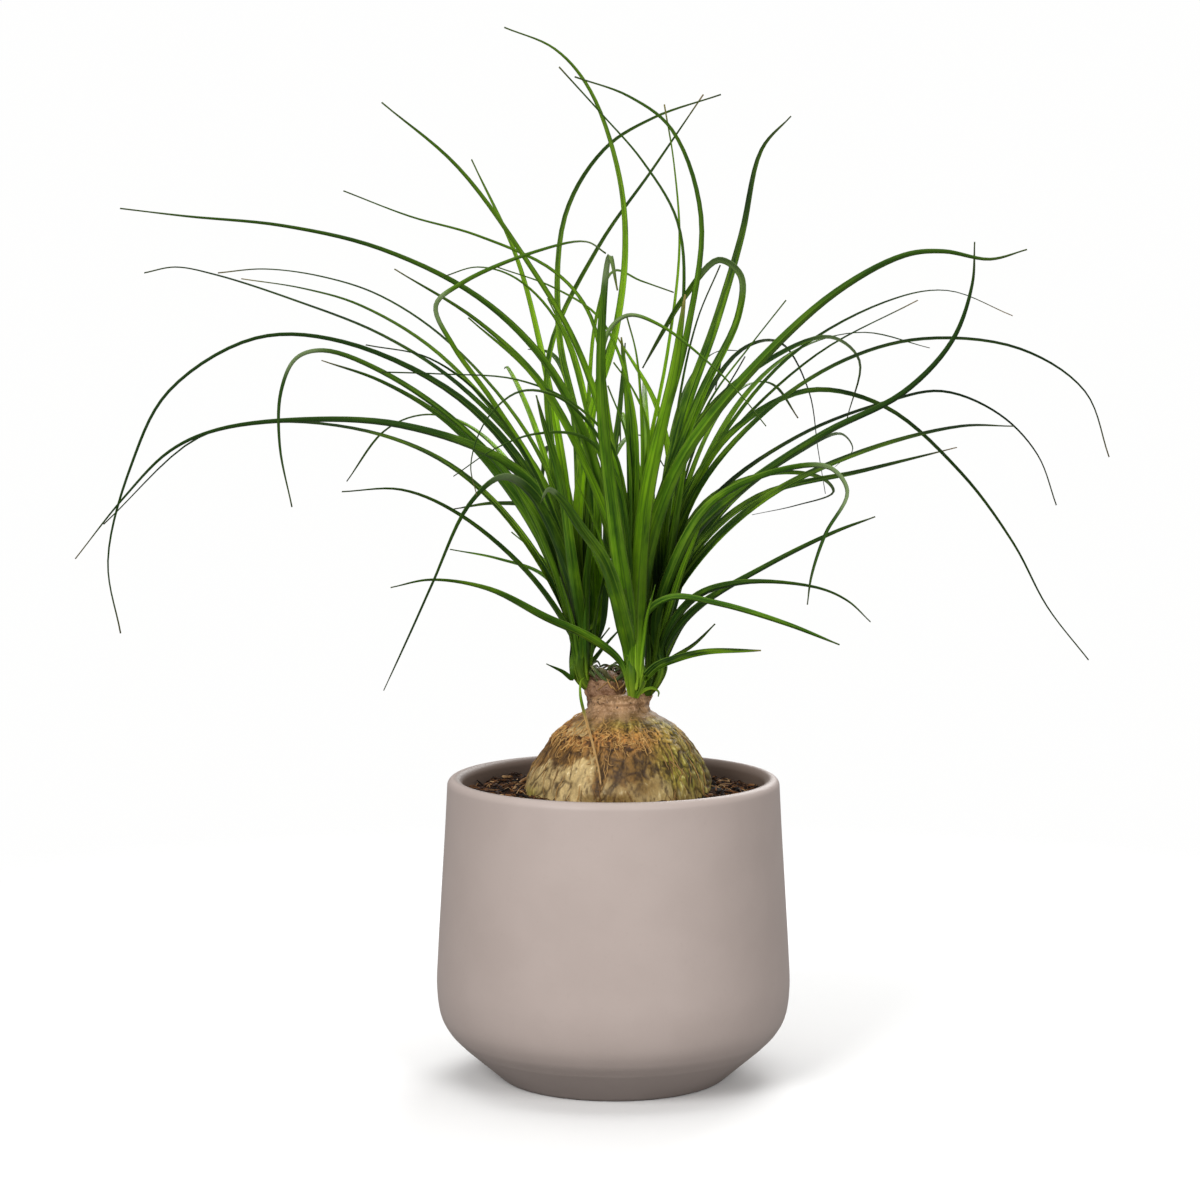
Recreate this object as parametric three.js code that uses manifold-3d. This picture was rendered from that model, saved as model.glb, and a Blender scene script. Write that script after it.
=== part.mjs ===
// A young ponytail palm in a round matte pot, standing on its own foot.
// Millimetres, +Z up. The origin is the middle of the foot, and the front of the plant faces -Y.

import * as THREE from "three";
import { mergeVertices } from "three/addons/utils/BufferGeometryUtils.js";
import Module from "manifold-3d";

const wasm = await Module();
wasm.setup();

// Clearance between pieces that touch
const gap = 0.3;

// Pot, as radii and heights of its outer profile
const potSides = 48;
const wallSteps = 7;
const lipSteps = 4;
const potHeight = 158.5;
const footRadius = 59;
const chamferTop = [79.8, 18];
const wallPlaces = [chamferTop, [86.4, 25], [91, 34], [92.8, 48], [92.2, 66], [90.3, 98], [88.3, 130]];
const lipRadius = 87;
const wallThickness = 8;
const floorHeight = 12;
const floorRadius = 65;
const innerCorner = [76.5, 24];
const innerTurn = [82.8, 35];

// Soil, as its level at the wall, the heap against the trunk and the radii of its top's rings
const soilLevel = 148.5;
const heapHeight = 7;
const heapWidth = 11;
const soilTopRadii = [78, 72, 64, 56, 50, 44];

// Trunk: height, radius and middle in X of each ring, from its buried underside to the neck
const trunkSides = 32;
const trunkRings = [
  [118, 18, 2.4], [121, 29, 2.4], [128, 39, 2.4], [138, 45.5, 2.4], [149, 48, 2.4],
  [157, 47.6, 2.4], [165, 44.3, 2.8], [172, 40, 3], [177, 36.8, 3], [181, 33.5, 2.8], [185, 29.3, 3],
  [188, 25.5, 2.8], [191, 21, 2.4], [194, 17, 2.2], [197, 15.2, 2.5], [200, 15, 2.7], [202.5, 12.5, 3],
];
const widestRing = 4;
const buriedRings = 7;
const buriedTo = 150;
const roughFrom = 158;

// Stump of the old stem and the stubs that carry the side heads: x, y, height and radius of each ring
const stumpSides = 18;
const stubSides = 14;
const coreSides = 12;
const stumpRings = [
  [-3.5, 3, 190, 11], [-3.8, 3, 199, 9.4], [-4, 3, 203, 10.2], [-4, 3, 207, 9.6],
  [-3.8, 3, 210, 8.6], [-3.4, 3, 212, 6.8], [-3, 3, 213.2, 4.6], [-2.8, 3, 214, 2],
];
const leftStub = [[-4, 2, 193, 8], [-7, 2.5, 199, 6.6], [-11, 2.4, 204.4, 4.6]];
const rightStub = [[10, 4, 190, 7.5], [12.5, 5, 196.5, 6.4], [14.8, 5.5, 200.6, 6]];

// Core of each leaf head: x, y, height and radius of each ring, from its foot in the trunk
const cores = {
  left: [[-9.5, 2.5, 200.4, 2.6], [-13.8, 2, 205.5, 3.5], [-15.6, 1, 213, 5], [-18, -1, 245, 4]],
  front: [[10, -7.5, 197.8, 2.2], [10.2, -8.5, 203, 3.7], [10.4, -9.5, 212, 5.4], [10, -10.5, 248, 4]],
  right: [[15.4, 5.6, 198.2, 3], [18.4, 6.2, 203.5, 4], [20.6, 7, 213, 5.2], [25, 8, 245, 4]],
};

// The viewer's eye, from which the leaves' places are given
const eye = new THREE.Vector3(-7, -1650, 418);

// Leaves: head, width, how far the tip lies behind the head's root (in front where negative),
// then places along the leaf towards the tip, [x, height] as seen from the eye on the plane y = 0
const leaves = [
  ["left", 5.5, 50, [-26, 285], [-42, 322], [-80, 363], [-120, 389], [-165, 407], [-205, 420], [-226, 424],
    [-242, 421]],
  ["left", 4, 110, [-24, 290], [-45, 338], [-85, 385], [-120, 409], [-150, 419], [-180, 423], [-204, 421]],
  ["left", 5, 140, [-26, 280], [-48, 330], [-90, 379], [-130, 404], [-160, 413], [-192, 418]],
  ["left", 9, -40, [-25, 265], [-42, 312], [-80, 356], [-140, 385], [-185, 387], [-230, 360], [-250, 322],
    [-263, 272], [-257, 234]],
  ["left", 7, -60, [-25, 255], [-42, 298], [-80, 342], [-120, 370], [-150, 381], [-164, 377], [-172, 360],
    [-173, 332], [-167, 300]],
  ["left", 8, -22, [-28, 262], [-50, 303], [-85, 343], [-120, 365], [-151, 376]],
  ["left", 9, -90, [-23, 262], [-36, 303], [-60, 325], [-110, 342], [-160, 345], [-205, 340], [-230, 329],
    [-255, 304], [-280, 273]],
  ["left", 5.5, 60, [-22, 235], [-45, 281], [-80, 318], [-120, 337], [-175, 344], [-215, 336], [-265, 291]],
  ["left", 6, 130, [-21, 270], [-27, 325], [-38, 384], [-50, 429], [-73, 479]],
  ["left", 6, 60, [-14, 290], [-18, 340], [-28, 390], [-25, 450], [-5, 484], [20, 500], [55, 512]],
  ["left", 5, 95, [-23, 270], [-32, 330], [-33, 380], [-8, 434], [20, 474], [46, 512]],
  ["left", 7, 30, [-18, 290], [-12, 345], [0, 385], [6, 430], [3, 470], [-12, 514], [-30, 535], [-56, 546]],
  ["left", 6.5, -120, [-25, 262], [-37, 310], [-62, 353], [-83, 383], [-92, 404], [-78, 416], [-40, 432],
    [-14, 437], [-4, 431]],
  ["left", 3, -110, [-22, 265], [-38, 312], [-65, 354], [-95, 377], [-128, 384]],
  ["left", 3.5, -100, [-25, 238], [-45, 266], [-80, 296], [-110, 309], [-141, 308]],
  ["left", 8, -150, [-22, 262], [-42, 306], [-57, 315], [-75, 300], [-94, 260], [-105, 236], [-120, 204]],
  ["left", 3.2, 110, [-20, 240], [-35, 263], [-60, 273], [-85, 278]],
  ["left", 5, 150, [-21, 262], [-37, 297], [-60, 302], [-83, 299]],
  ["left", 2.5, 90, [-22, 248], [-35, 271], [-53, 287]],
  ["left", 7, -90, [-21, 265], [-28, 315], [-36, 343], [-40, 358]],
  ["left", 3.5, 60, [-14, 300], [-13, 350], [-9, 398], [0, 422], [14, 417], [31, 411]],
  ["left", 7, 110, [-8, 240], [-5, 270], [-3, 310], [3, 350], [6, 385]],
  ["left", 5, 80, [-9, 240], [-8, 275], [-10, 325], [-20, 378], [-34, 408]],
  ["left", 8, 120, [-10, 235], [-11, 280], [-14, 320], [-9, 360], [2, 396]],
  ["left", 4, -16, [-21, 210], [-27, 214], [-35, 218]],
  ["left", 2.2, 24, [-12, 222], [-8, 229], [-2, 237]],
  ["left", 3, 30, [-10, 220], [-3, 229], [4, 237]],
  ["front", 9, -70, [8, 250], [-2, 285], [-15, 335], [-36, 375], [-70, 408], [-120, 433], [-170, 445],
    [-220, 450], [-254, 454]],
  ["front", 4.5, -30, [7, 270], [-3, 345], [-12, 398], [-30, 421], [-70, 440], [-105, 450], [-139, 463]],
  ["front", 7, -60, [8, 270], [-2, 330], [-20, 384], [-45, 427], [-80, 475], [-119, 508]],
  ["front", 7, -40, [13, 275], [22, 328], [38, 390], [45, 450], [30, 494], [8, 511], [-20, 521]],
  ["front", 4, -20, [13, 280], [26, 345], [36, 405], [33, 447], [15, 478], [-6, 502], [-28, 526]],
  ["front", 3, 20, [13, 300], [28, 380], [34, 435], [31, 477], [26, 507]],
  ["front", 10, -100, [7, 245], [0, 295], [-6, 350], [-6, 395], [-2, 430], [2, 412]],
  ["front", 6, -60, [5, 260], [-8, 305], [-36, 362], [-70, 396], [-113, 423]],
  ["front", 5, -85, [5, 270], [-10, 312], [-40, 366], [-75, 398]],
  ["front", 3.5, -50, [6, 290], [-10, 335], [-28, 394], [-50, 418], [-70, 424], [-88, 419]],
  ["front", 3.5, -20, [11, 290], [10, 350], [-6, 396], [-30, 413], [-60, 424]],
  ["front", 2.5, -95, [10, 270], [0, 330], [-20, 353], [-50, 366], [-90, 369], [-120, 370]],
  ["front", 3, -100, [7, 270], [-2, 325], [-25, 355], [-48, 360], [-66, 345], [-74, 322], [-71, 306]],
  ["front", 3, -110, [9, 265], [2, 315], [-15, 336], [-40, 338], [-62, 330], [-83, 316]],
  ["front", 5, -110, [3, 219], [-12, 231], [-35, 242], [-65, 257], [-95, 262], [-116, 258]],
  ["front", 9, -120, [6, 235], [-4, 269], [-17, 289], [-28, 305], [-34, 309], [-38, 302]],
  ["front", 5, -110, [2, 280], [-5, 350], [-4, 388], [7, 399], [24, 394], [50, 374], [66, 358], [79, 342]],
  ["front", 11, -90, [14, 250], [22, 290], [38, 328], [75, 374], [115, 411], [150, 430], [170, 432],
    [194, 428], [213, 433]],
  ["front", 6, 40, [14, 250], [24, 300], [45, 345], [80, 376], [112, 388], [127, 376], [121, 346]],
  ["front", 2.5, 60, [14, 265], [28, 305], [50, 355], [71, 384], [89, 407]],
  ["front", 10, 10, [15, 255], [24, 295], [46, 357], [65, 398], [66, 420], [54, 428], [36, 408],
    [25, 390], [15, 372]],
  ["front", 5.5, -25, [13, 222], [17, 243], [30, 252], [55, 249], [90, 239], [118, 228]],
  ["front", 3, -40, [13, 270], [15, 330], [12, 378], [7, 398]],
  ["front", 8, 12, [11, 280], [9, 335], [4, 388]],
  ["front", 11, -60, [13, 260], [18, 310], [31, 370], [37, 410]],
  ["front", 3, -30, [13, 280], [18, 340], [10, 361], [0, 375]],
  ["front", 2.5, -40, [9, 280], [7, 335], [-3, 363]],
  ["front", 6, -30, [17, 210], [24, 216], [34, 220], [50, 224], [77, 225]],
  ["right", 9, -50, [28, 250], [42, 285], [70, 311], [110, 338], [150, 359], [175, 386], [185, 415],
    [186, 437]],
  ["right", 5, 90, [30, 262], [52, 304], [95, 336], [140, 354], [170, 360], [200, 348], [220, 327],
    [230, 301]],
  ["right", 6, 30, [28, 265], [45, 310], [80, 350], [120, 376], [160, 387], [210, 382], [244, 360],
    [257, 326]],
  ["right", 7, 60, [27, 258], [38, 300], [60, 337], [100, 360], [140, 352], [180, 318], [208, 281],
    [226, 248], [248, 220]],
  ["right", 6.5, -30, [26, 240], [45, 273], [80, 305], [130, 329], [180, 342], [207, 342]],
  ["right", 6, 100, [24, 238], [42, 276], [75, 305], [130, 319], [178, 331]],
  ["right", 4, 130, [28, 285], [52, 330], [90, 377], [140, 406], [172, 412], [206, 399]],
  ["right", 3.5, 160, [29, 290], [60, 337], [105, 379], [157, 407]],
  ["right", 6, 150, [26, 280], [40, 340], [66, 381], [86, 385], [101, 360], [106, 330], [110, 307]],
  ["right", 9, 60, [26, 290], [36, 345], [53, 395], [66, 440], [76, 484], [91, 501]],
  ["right", 6.5, 140, [30, 258], [60, 302], [95, 328], [118, 338], [124, 330], [115, 321]],
  ["right", 8.5, -90, [28, 258], [50, 300], [85, 318], [112, 320], [121, 308], [110, 286], [103, 264],
    [101, 249]],
  ["right", 5.5, 120, [26, 260], [48, 302], [80, 317], [108, 315], [114, 308], [95, 301], [72, 296]],
  ["right", 5.5, -40, [27, 224], [42, 245], [80, 269], [115, 287], [136, 295]],
  ["right", 5, -100, [26, 228], [42, 252], [65, 260], [105, 258], [122, 251], [134, 240]],
  ["right", 3.5, 20, [28, 218], [42, 228], [53, 239]],
  ["right", 3, 60, [27, 220], [36, 238], [52, 255]],
  ["right", 5, 60, [25, 260], [30, 315], [22, 353], [2, 388]],
  ["right", 2.5, 120, [26, 275], [34, 355], [43, 396], [55, 425]],
  ["right", 2.5, 150, [27, 270], [42, 330], [68, 378]],
];

// The dry leaf that hangs from the left head down the front of the trunk: [x, y, height]
const hangingLeaf = [[-15, -3, 211], [-17, -8.5, 209.5], [-17, -12.5, 203], [-15.6, -16, 196.5],
  [-13.8, -22, 190.5], [-12, -30.5, 185], [-9.5, -38.5, 176.5], [-7.5, -44, 168.5], [-6.6, -48, 162]];
const hangingWidth = 3;
const hangingBearing = -100;

// Leaves that the front view hides, drawn at random within each group: head, count, lowest and
// highest bearing from above in degrees, shortest and longest length, rise at the root in degrees
// and how far the leaf has turned down at its tip
const hiddenLeaves = [
  ["left", 5, 75, 128, 230, 320, 72, 100],
  ["right", 6, 52, 105, 230, 320, 72, 100],
];

// A blade's share of its full width at the root, the distance from the root where it is full and the
// most that this may be as a share of the length, and the length in which it narrows by a factor of e
const rootWidth = 0.45;
const fullWidthFrom = 45;
const fullFromShare = 0.3;
const narrowing = 180;

// How late a blade closes at its tip: a power that grows by one in each step of the leaf's length,
// between the power of the most pointed leaf and that of the bluntest
const lengthPerPower = 40;
const pointedPower = 1.5;
const bluntPower = 8;

// A blade's thinnest width and keel, its keel as a share of the width, and its rings for each
// stretch between two places
const tipWidth = 1.2;
const leastKeel = 0.9;
const keelShare = 0.18;
const ringsPerSpan = 1.3;

// How far from its core's middle a leaf is rooted, how steeply a shown blade rolls to the front,
// and the stretch above the root that gets one more place when it is longer than this
const rootReach = 2.4;
const frontRoll = 0.55;
const longestSheath = 30;

// Steps along a drawn leaf, and how far it is turned about its core for each millimetre of shift
const drawnSteps = 6;
const turnPerShift = 0.005;

// What a leaf is moved by, in turn, until it clears the trunk and the other heads
const shifts = [0, 12, -12, 24, -24, 36, -36, 48, -48, 60, -60, 75, -75, 90, -90, 110, -110, 130, -130];

// The same draws every time: a number from 0 to 1 from a multiplying sequence
let drawState = 20261;
function draw() {
  drawState = (drawState * 16807) % 2147483647;
  return drawState / 2147483647;
}

function between(low, high) {
  return low + (high - low) * draw();
}

// A closed solid over rows of [x, y, z] points. The rows have equal counts of points, go round
// anticlockwise as seen from the last row, and the first and the last are capped by a fan.
function skin(rows) {
  const count = rows[0].length;
  const triangles = [];
  for (let row = 0; row + 1 < rows.length; row++) {
    for (let side = 0; side < count; side++) {
      const here = row * count + side;
      const next = row * count + ((side + 1) % count);
      triangles.push(here, next, next + count, here, next + count, here + count);
    }
  }
  const last = (rows.length - 1) * count;
  for (let side = 1; side + 1 < count; side++) {
    triangles.push(0, side + 1, side);
    triangles.push(last, last + side, last + side + 1);
  }
  return new wasm.Manifold(new wasm.Mesh({
    numProp: 3,
    vertProperties: new Float32Array(rows.flat(2)),
    triVerts: new Uint32Array(triangles),
  }));
}

// Level rings of [x, y, height, radius], each a circle that radiusAt may roughen
function ringedSolid(rings, sides, radiusAt = (radius) => radius) {
  return skin(rings.map(([x, y, height, radius]) => {
    const row = [];
    for (let side = 0; side < sides; side++) {
      const angle = (2 * Math.PI * side) / sides;
      const reach = radiusAt(radius, angle, height);
      row.push([x + reach * Math.cos(angle), y + reach * Math.sin(angle), height]);
    }
    return row;
  }));
}

// The same rings, wider by the clearance and starting lower by it, to cut a seat with
function clearOf(rings) {
  const [[x, y, height, radius], ...rest] = rings.map((ring) => [ring[0], ring[1], ring[2], ring[3] + gap]);
  return [[x, y, height - gap, radius], ...rest];
}

function smoothStep(low, high, value) {
  const share = Math.min(1, Math.max(0, (value - low) / (high - low)));
  return share * share * (3 - 2 * share);
}

// Pot: one turned wall, from the foot up the outside, over the round lip and down the inside
function innerWall() {
  const straight = wallPlaces.slice(3).map(([radius, height]) => [radius - wallThickness, height]);
  return [[floorRadius, floorHeight], innerCorner, innerTurn, ...straight];
}

function potGeometry() {
  const reach = wallThickness / 2;
  const lipCentre = lipRadius - reach;
  const lipBase = potHeight - reach;
  const places = [...wallPlaces, [lipRadius, lipBase]];
  const wall = new THREE.SplineCurve(places.map(([radius, height]) => new THREE.Vector2(radius, height)));
  const profile = [new THREE.Vector2(0, 0), new THREE.Vector2(footRadius, 0), ...wall.getPoints(wallSteps)];
  for (let step = 1; step <= lipSteps; step++) {
    const angle = (Math.PI * step) / lipSteps;
    profile.push(new THREE.Vector2(lipCentre + reach * Math.cos(angle), lipBase + reach * Math.sin(angle)));
  }
  for (const [radius, height] of innerWall().reverse()) {
    profile.push(new THREE.Vector2(radius, height));
  }
  profile.push(new THREE.Vector2(0, floorHeight));
  const geometry = new THREE.LatheGeometry(profile, potSides);
  geometry.rotateX(Math.PI / 2);
  geometry.deleteAttribute("normal");
  geometry.deleteAttribute("uv");
  return mergeVertices(geometry, 0.001);
}

// Trunk: a swollen round body under a narrow neck, with long shallow furrows above the soil
function trunkRadius(radius, angle, height) {
  const furrows = 0.016 * Math.sin(3 * angle + height / 25) + 0.012 * Math.sin(7 * angle - height / 9)
    + 0.01 * Math.sin(13 * angle + height / 6);
  return radius * (1 + furrows * smoothStep(buriedTo, roughFrom, height));
}

function trunkLevels() {
  return trunkRings.map(([height, radius, middle]) => [middle, 0, height, radius]);
}

function stumpRadius(radius, angle, height) {
  return radius * (1 + 0.05 * Math.sin(5 * angle + height / 2) + 0.03 * Math.sin(9 * angle));
}

function trunkSolid() {
  let trunk = ringedSolid(trunkLevels(), trunkSides, trunkRadius)
    .add(ringedSolid(stumpRings, stumpSides, stumpRadius))
    .add(ringedSolid(leftStub, stubSides))
    .add(ringedSolid(rightStub, stubSides));
  for (const core of Object.values(cores)) {
    trunk = trunk.subtract(ringedSolid(clearOf(core), coreSides));
  }
  return trunk;
}

// Soil: fills the pot to its wall and heaps up a little round the trunk, more behind it
function soilHeight(x, y) {
  const [, trunkGirth, trunkMiddle] = trunkRings[widestRing];
  const fromTrunk = Math.hypot(x - trunkMiddle, y) - trunkGirth;
  const behind = 0.25 + 0.75 * smoothStep(-20, 40, y);
  const heap = heapHeight * behind * Math.exp(-((fromTrunk / heapWidth) ** 2));
  const lumps = 0.9 * Math.sin(x / 3.1) * Math.sin(y / 3.7) + 0.7 * Math.sin(x / 5.3 + y / 2.9);
  return soilLevel + heap + lumps;
}

function soilSolid() {
  const [widest, widestHeight] = wallPlaces[3];
  const wall = [[floorRadius, floorHeight + gap], innerCorner, [widest - wallThickness, widestHeight],
    [lipRadius + gap - wallThickness, soilLevel - 2]];
  const sides = wall.map(([radius, height]) => [radius - gap, height]);
  const tops = soilTopRadii.map((radius) => [radius, null]);
  const rows = [...sides, ...tops].map(([radius, height]) => {
    const row = [];
    for (let side = 0; side < potSides; side++) {
      const angle = (2 * Math.PI * side) / potSides;
      const x = radius * Math.cos(angle);
      const y = radius * Math.sin(angle);
      row.push([x, y, height ?? soilHeight(x, y)]);
    }
    return row;
  });
  const hole = ringedSolid(clearOf(trunkLevels().slice(0, buriedRings)), trunkSides, trunkRadius);
  return skin(rows).subtract(hole);
}

// A place seen from the eye at [x, height] on the plane y = 0, moved along the line of sight to depth y
function seenAt(x, height, y) {
  const stretch = 1 + y / -eye.y;
  return new THREE.Vector3(eye.x + (x - eye.x) * stretch, y, eye.z + (height - eye.z) * stretch);
}

// A place in a head's core, off its middle towards the bearing: share 0 is low in it, share 1 at its top
function placeInCore(core, share, bearing) {
  const low = core[1];
  const high = core[3];
  return new THREE.Vector3(
    low[0] + (high[0] - low[0]) * share + rootReach * Math.cos(bearing),
    low[1] + (high[1] - low[1]) * share + rootReach * Math.sin(bearing),
    low[2] + (high[2] - low[2]) * share,
  );
}

// How high up the core a leaf is rooted: upright leaves stand higher than those that lean out
function rootShare(rise, run) {
  return 0.1 + 0.6 * smoothStep(0.3, 3, rise / Math.max(1, run));
}

// Path of a leaf that the front view shows. The leaf goes back or forward in step with its run
// sideways, and shift moves its tip farther along the lines of sight.
function shownPath([headName, , depth, ...places], shift) {
  const core = cores[headName];
  const runs = [0];
  let before = [core[2][0], core[2][2]];
  for (const place of places) {
    const step = Math.abs(place[0] - before[0]) + 0.3 * Math.abs(place[1] - before[1]);
    runs.push(runs[runs.length - 1] + step);
    before = place;
  }
  const whole = runs[runs.length - 1];
  const outer = places.map(([x, height], index) => {
    const y = core[2][1] + (depth + shift) * (runs[index + 1] / whole);
    return seenAt(x, height, y);
  });
  const middle = outer[Math.ceil(outer.length / 2)] ?? outer[outer.length - 1];
  const bearing = Math.atan2(middle.y - core[2][1], middle.x - core[2][0]);
  const run = Math.hypot(middle.x - core[2][0], middle.y - core[2][1]);
  const root = placeInCore(core, rootShare(middle.z - core[2][2], run), bearing);
  const path = [root];
  if (outer[0].distanceTo(root) > longestSheath) {
    const sheath = root.clone().lerp(outer[0], 0.3);
    sheath.z = root.z + (outer[0].z - root.z) * 0.45;
    path.push(sheath);
  }
  return { points: [...path, ...outer], bearing, roll: frontRoll * Math.abs(Math.cos(bearing)) };
}

// Path of a leaf drawn at random: it rises from the root and bends over evenly along its length
function drawnPath({ headName, bearing, length, rise, droop, curl, roll }, shift) {
  const turned = bearing + turnPerShift * shift;
  const root = placeInCore(cores[headName], rootShare(rise, 30), turned);
  const points = [root];
  let place = root.clone();
  for (let step = 0; step < drawnSteps; step++) {
    const share = (step + 0.5) / drawnSteps;
    const slope = THREE.MathUtils.degToRad(rise - droop * share ** 1.3);
    const heading = turned + curl * share * share;
    const stride = length / drawnSteps;
    place = place.clone().add(new THREE.Vector3(
      stride * Math.cos(slope) * Math.cos(heading),
      stride * Math.cos(slope) * Math.sin(heading),
      stride * Math.sin(slope),
    ));
    points.push(place);
  }
  return { points, bearing: turned, roll };
}

// Width along a leaf of this length, as a share of its full width: it spreads from the root, narrows
// evenly, and closes at the tip, late on a long leaf
function taper(share, length) {
  const along = share * length;
  const fullFrom = Math.min(fullWidthFrom, length * fullFromShare);
  const spread = rootWidth + (1 - rootWidth) * smoothStep(0, fullFrom, along);
  const narrowed = Math.exp(-Math.max(0, along - fullFrom) / narrowing);
  const closing = Math.min(bluntPower, Math.max(pointedPower, length / lengthPerPower));
  return spread * narrowed * Math.sqrt(1 - share ** closing);
}

// A three-sided blade along a path: two edges and a keel under the middle rib. Its width starts
// level, is carried along the path without twist, and is rolled towards the front by the roll.
function bladeSolid({ points, bearing, roll }, width, clearance) {
  const curve = new THREE.CatmullRomCurve3(points, false, "centripetal");
  const length = curve.getLength();
  const rings = Math.round((points.length - 1) * ringsPerSpan);
  const across = new THREE.Vector3(-Math.sin(bearing), Math.cos(bearing), 0);
  const rows = [];
  for (let ring = 0; ring <= rings; ring++) {
    const share = ring / rings;
    const place = curve.getPoint(share);
    const before = curve.getPoint(Math.max(0, share - 0.01));
    const along = curve.getPoint(Math.min(1, share + 0.01)).sub(before).normalize();
    across.addScaledVector(along, -across.dot(along)).normalize();
    const lean = roll * Math.sign(Math.cos(bearing)) * smoothStep(0.05, 0.4, share);
    const side = across.clone().applyAxisAngle(along, lean);
    const up = along.clone().cross(side);
    const wide = Math.max(tipWidth, width * taper(share, length)) + 2 * clearance;
    const keel = Math.max(leastKeel, keelShare * wide) + 2 * clearance;
    rows.push([
      place.clone().addScaledVector(side, -wide / 2).addScaledVector(up, clearance).toArray(),
      place.clone().addScaledVector(up, -keel).toArray(),
      place.clone().addScaledVector(side, wide / 2).addScaledVector(up, clearance).toArray(),
    ]);
  }
  return skin(rows);
}

// Every leaf as { headName, width, pathAt }: the shown ones, the drawn ones and the hanging one
function allLeaves() {
  const list = leaves.map((leaf) => ({
    headName: leaf[0],
    width: leaf[1],
    pathAt: (shift) => shownPath(leaf, shift),
  }));
  for (const [headName, count, from, to, shortest, longest, rise, droop] of hiddenLeaves) {
    for (let index = 0; index < count; index++) {
      const turn = (index + between(0.2, 0.8)) / count;
      const drawn = {
        headName,
        bearing: THREE.MathUtils.degToRad(from + (to - from) * turn),
        length: between(shortest, longest),
        rise: rise + between(-6, 5),
        droop: droop * between(0.75, 1.2),
        curl: between(-0.5, 0.5),
        roll: between(-0.5, 0.5),
      };
      list.push({ headName, width: between(5, 8.5), pathAt: (shift) => drawnPath(drawn, shift) });
    }
  }
  const hanging = {
    points: hangingLeaf.map((place) => new THREE.Vector3(...place)),
    bearing: THREE.MathUtils.degToRad(hangingBearing),
    roll: 0,
  };
  list.push({ headName: "left", width: hangingWidth, pathAt: () => hanging });
  return list;
}

// Heads: each leaf is fused to its head's core, at the first shift that clears everything else
function headSolids(trunk) {
  const solids = {};
  for (const [name, core] of Object.entries(cores)) {
    solids[name] = ringedSolid(core, coreSides);
  }
  for (const leaf of allLeaves()) {
    const others = Object.keys(solids).filter((name) => name !== leaf.headName).map((name) => solids[name]);
    const clearShift = shifts.find((shift) => {
      const padded = bladeSolid(leaf.pathAt(shift), leaf.width, gap);
      return [trunk, ...others].every((other) => padded.intersect(other).isEmpty());
    });
    if (clearShift === undefined) {
      throw new Error(`no clear place for a ${leaf.width} mm leaf of the ${leaf.headName} head`);
    }
    solids[leaf.headName] = solids[leaf.headName].add(bladeSolid(leaf.pathAt(clearShift), leaf.width, 0));
  }
  return solids;
}

// The one whole body of a solid, without loose scraps and without the hollows that leaves enclose
function wholeBody(solid) {
  return solid.decompose().reduce((best, body) => (body.volume() > best.volume() ? body : best));
}

function asGeometry(solid) {
  const mesh = wholeBody(solid).getMesh();
  const geometry = new THREE.BufferGeometry();
  geometry.setAttribute("position", new THREE.BufferAttribute(mesh.vertProperties, 3));
  geometry.setIndex(new THREE.BufferAttribute(mesh.triVerts, 1));
  geometry.computeVertexNormals();
  return geometry;
}

const palm = new THREE.Group();

function addPiece(name, geometry, colour, roughness) {
  const material = new THREE.MeshStandardMaterial({ color: colour, roughness, metalness: 0 });
  const mesh = new THREE.Mesh(geometry, material);
  mesh.name = name;
  palm.add(mesh);
}

const trunk = trunkSolid();
const heads = headSolids(trunk);

addPiece("pot", potGeometry(), "#b8a9a3", 0.6);
addPiece("soil", asGeometry(soilSolid()), "#3a261b", 0.95);
addPiece("caudex", asGeometry(trunk), "#94744a", 0.8);
for (const [name, solid] of Object.entries(heads)) {
  addPiece(`leaf_head_${name}`, asGeometry(solid), "#4f7a2a", 0.5);
}

export default palm;
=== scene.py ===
"""A young ponytail palm in a round matte pot: its finished surfaces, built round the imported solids.

Shapes are worked out in millimetres, +Z up, with the middle of the pot's foot at the origin and the
front towards -Y, and put into the meshes in metres. Each head's leaves follow the same paths as the
solid leaves that they replace.
"""

import math
from functools import partial

import bpy
import numpy as np
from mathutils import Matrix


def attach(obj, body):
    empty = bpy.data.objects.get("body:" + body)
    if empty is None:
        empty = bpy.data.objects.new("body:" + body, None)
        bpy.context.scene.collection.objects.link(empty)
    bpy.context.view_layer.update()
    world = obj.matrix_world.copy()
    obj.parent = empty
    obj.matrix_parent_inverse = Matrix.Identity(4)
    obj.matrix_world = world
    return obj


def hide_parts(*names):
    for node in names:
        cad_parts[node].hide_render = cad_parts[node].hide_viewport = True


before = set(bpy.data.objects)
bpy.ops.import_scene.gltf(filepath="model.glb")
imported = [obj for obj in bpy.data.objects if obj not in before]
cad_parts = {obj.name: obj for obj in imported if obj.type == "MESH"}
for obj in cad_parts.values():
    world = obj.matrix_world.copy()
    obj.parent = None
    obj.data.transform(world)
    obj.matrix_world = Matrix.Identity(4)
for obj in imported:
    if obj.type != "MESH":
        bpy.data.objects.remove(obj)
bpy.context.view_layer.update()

MM = 0.001
TURN = 2 * math.pi

# Camera, as seen in the photograph
EYE = (-7.0, -1650.0, 418.0)
LOOK_HEIGHT = 251.5
LENS = 95.5
SENSOR = 36.0

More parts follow.
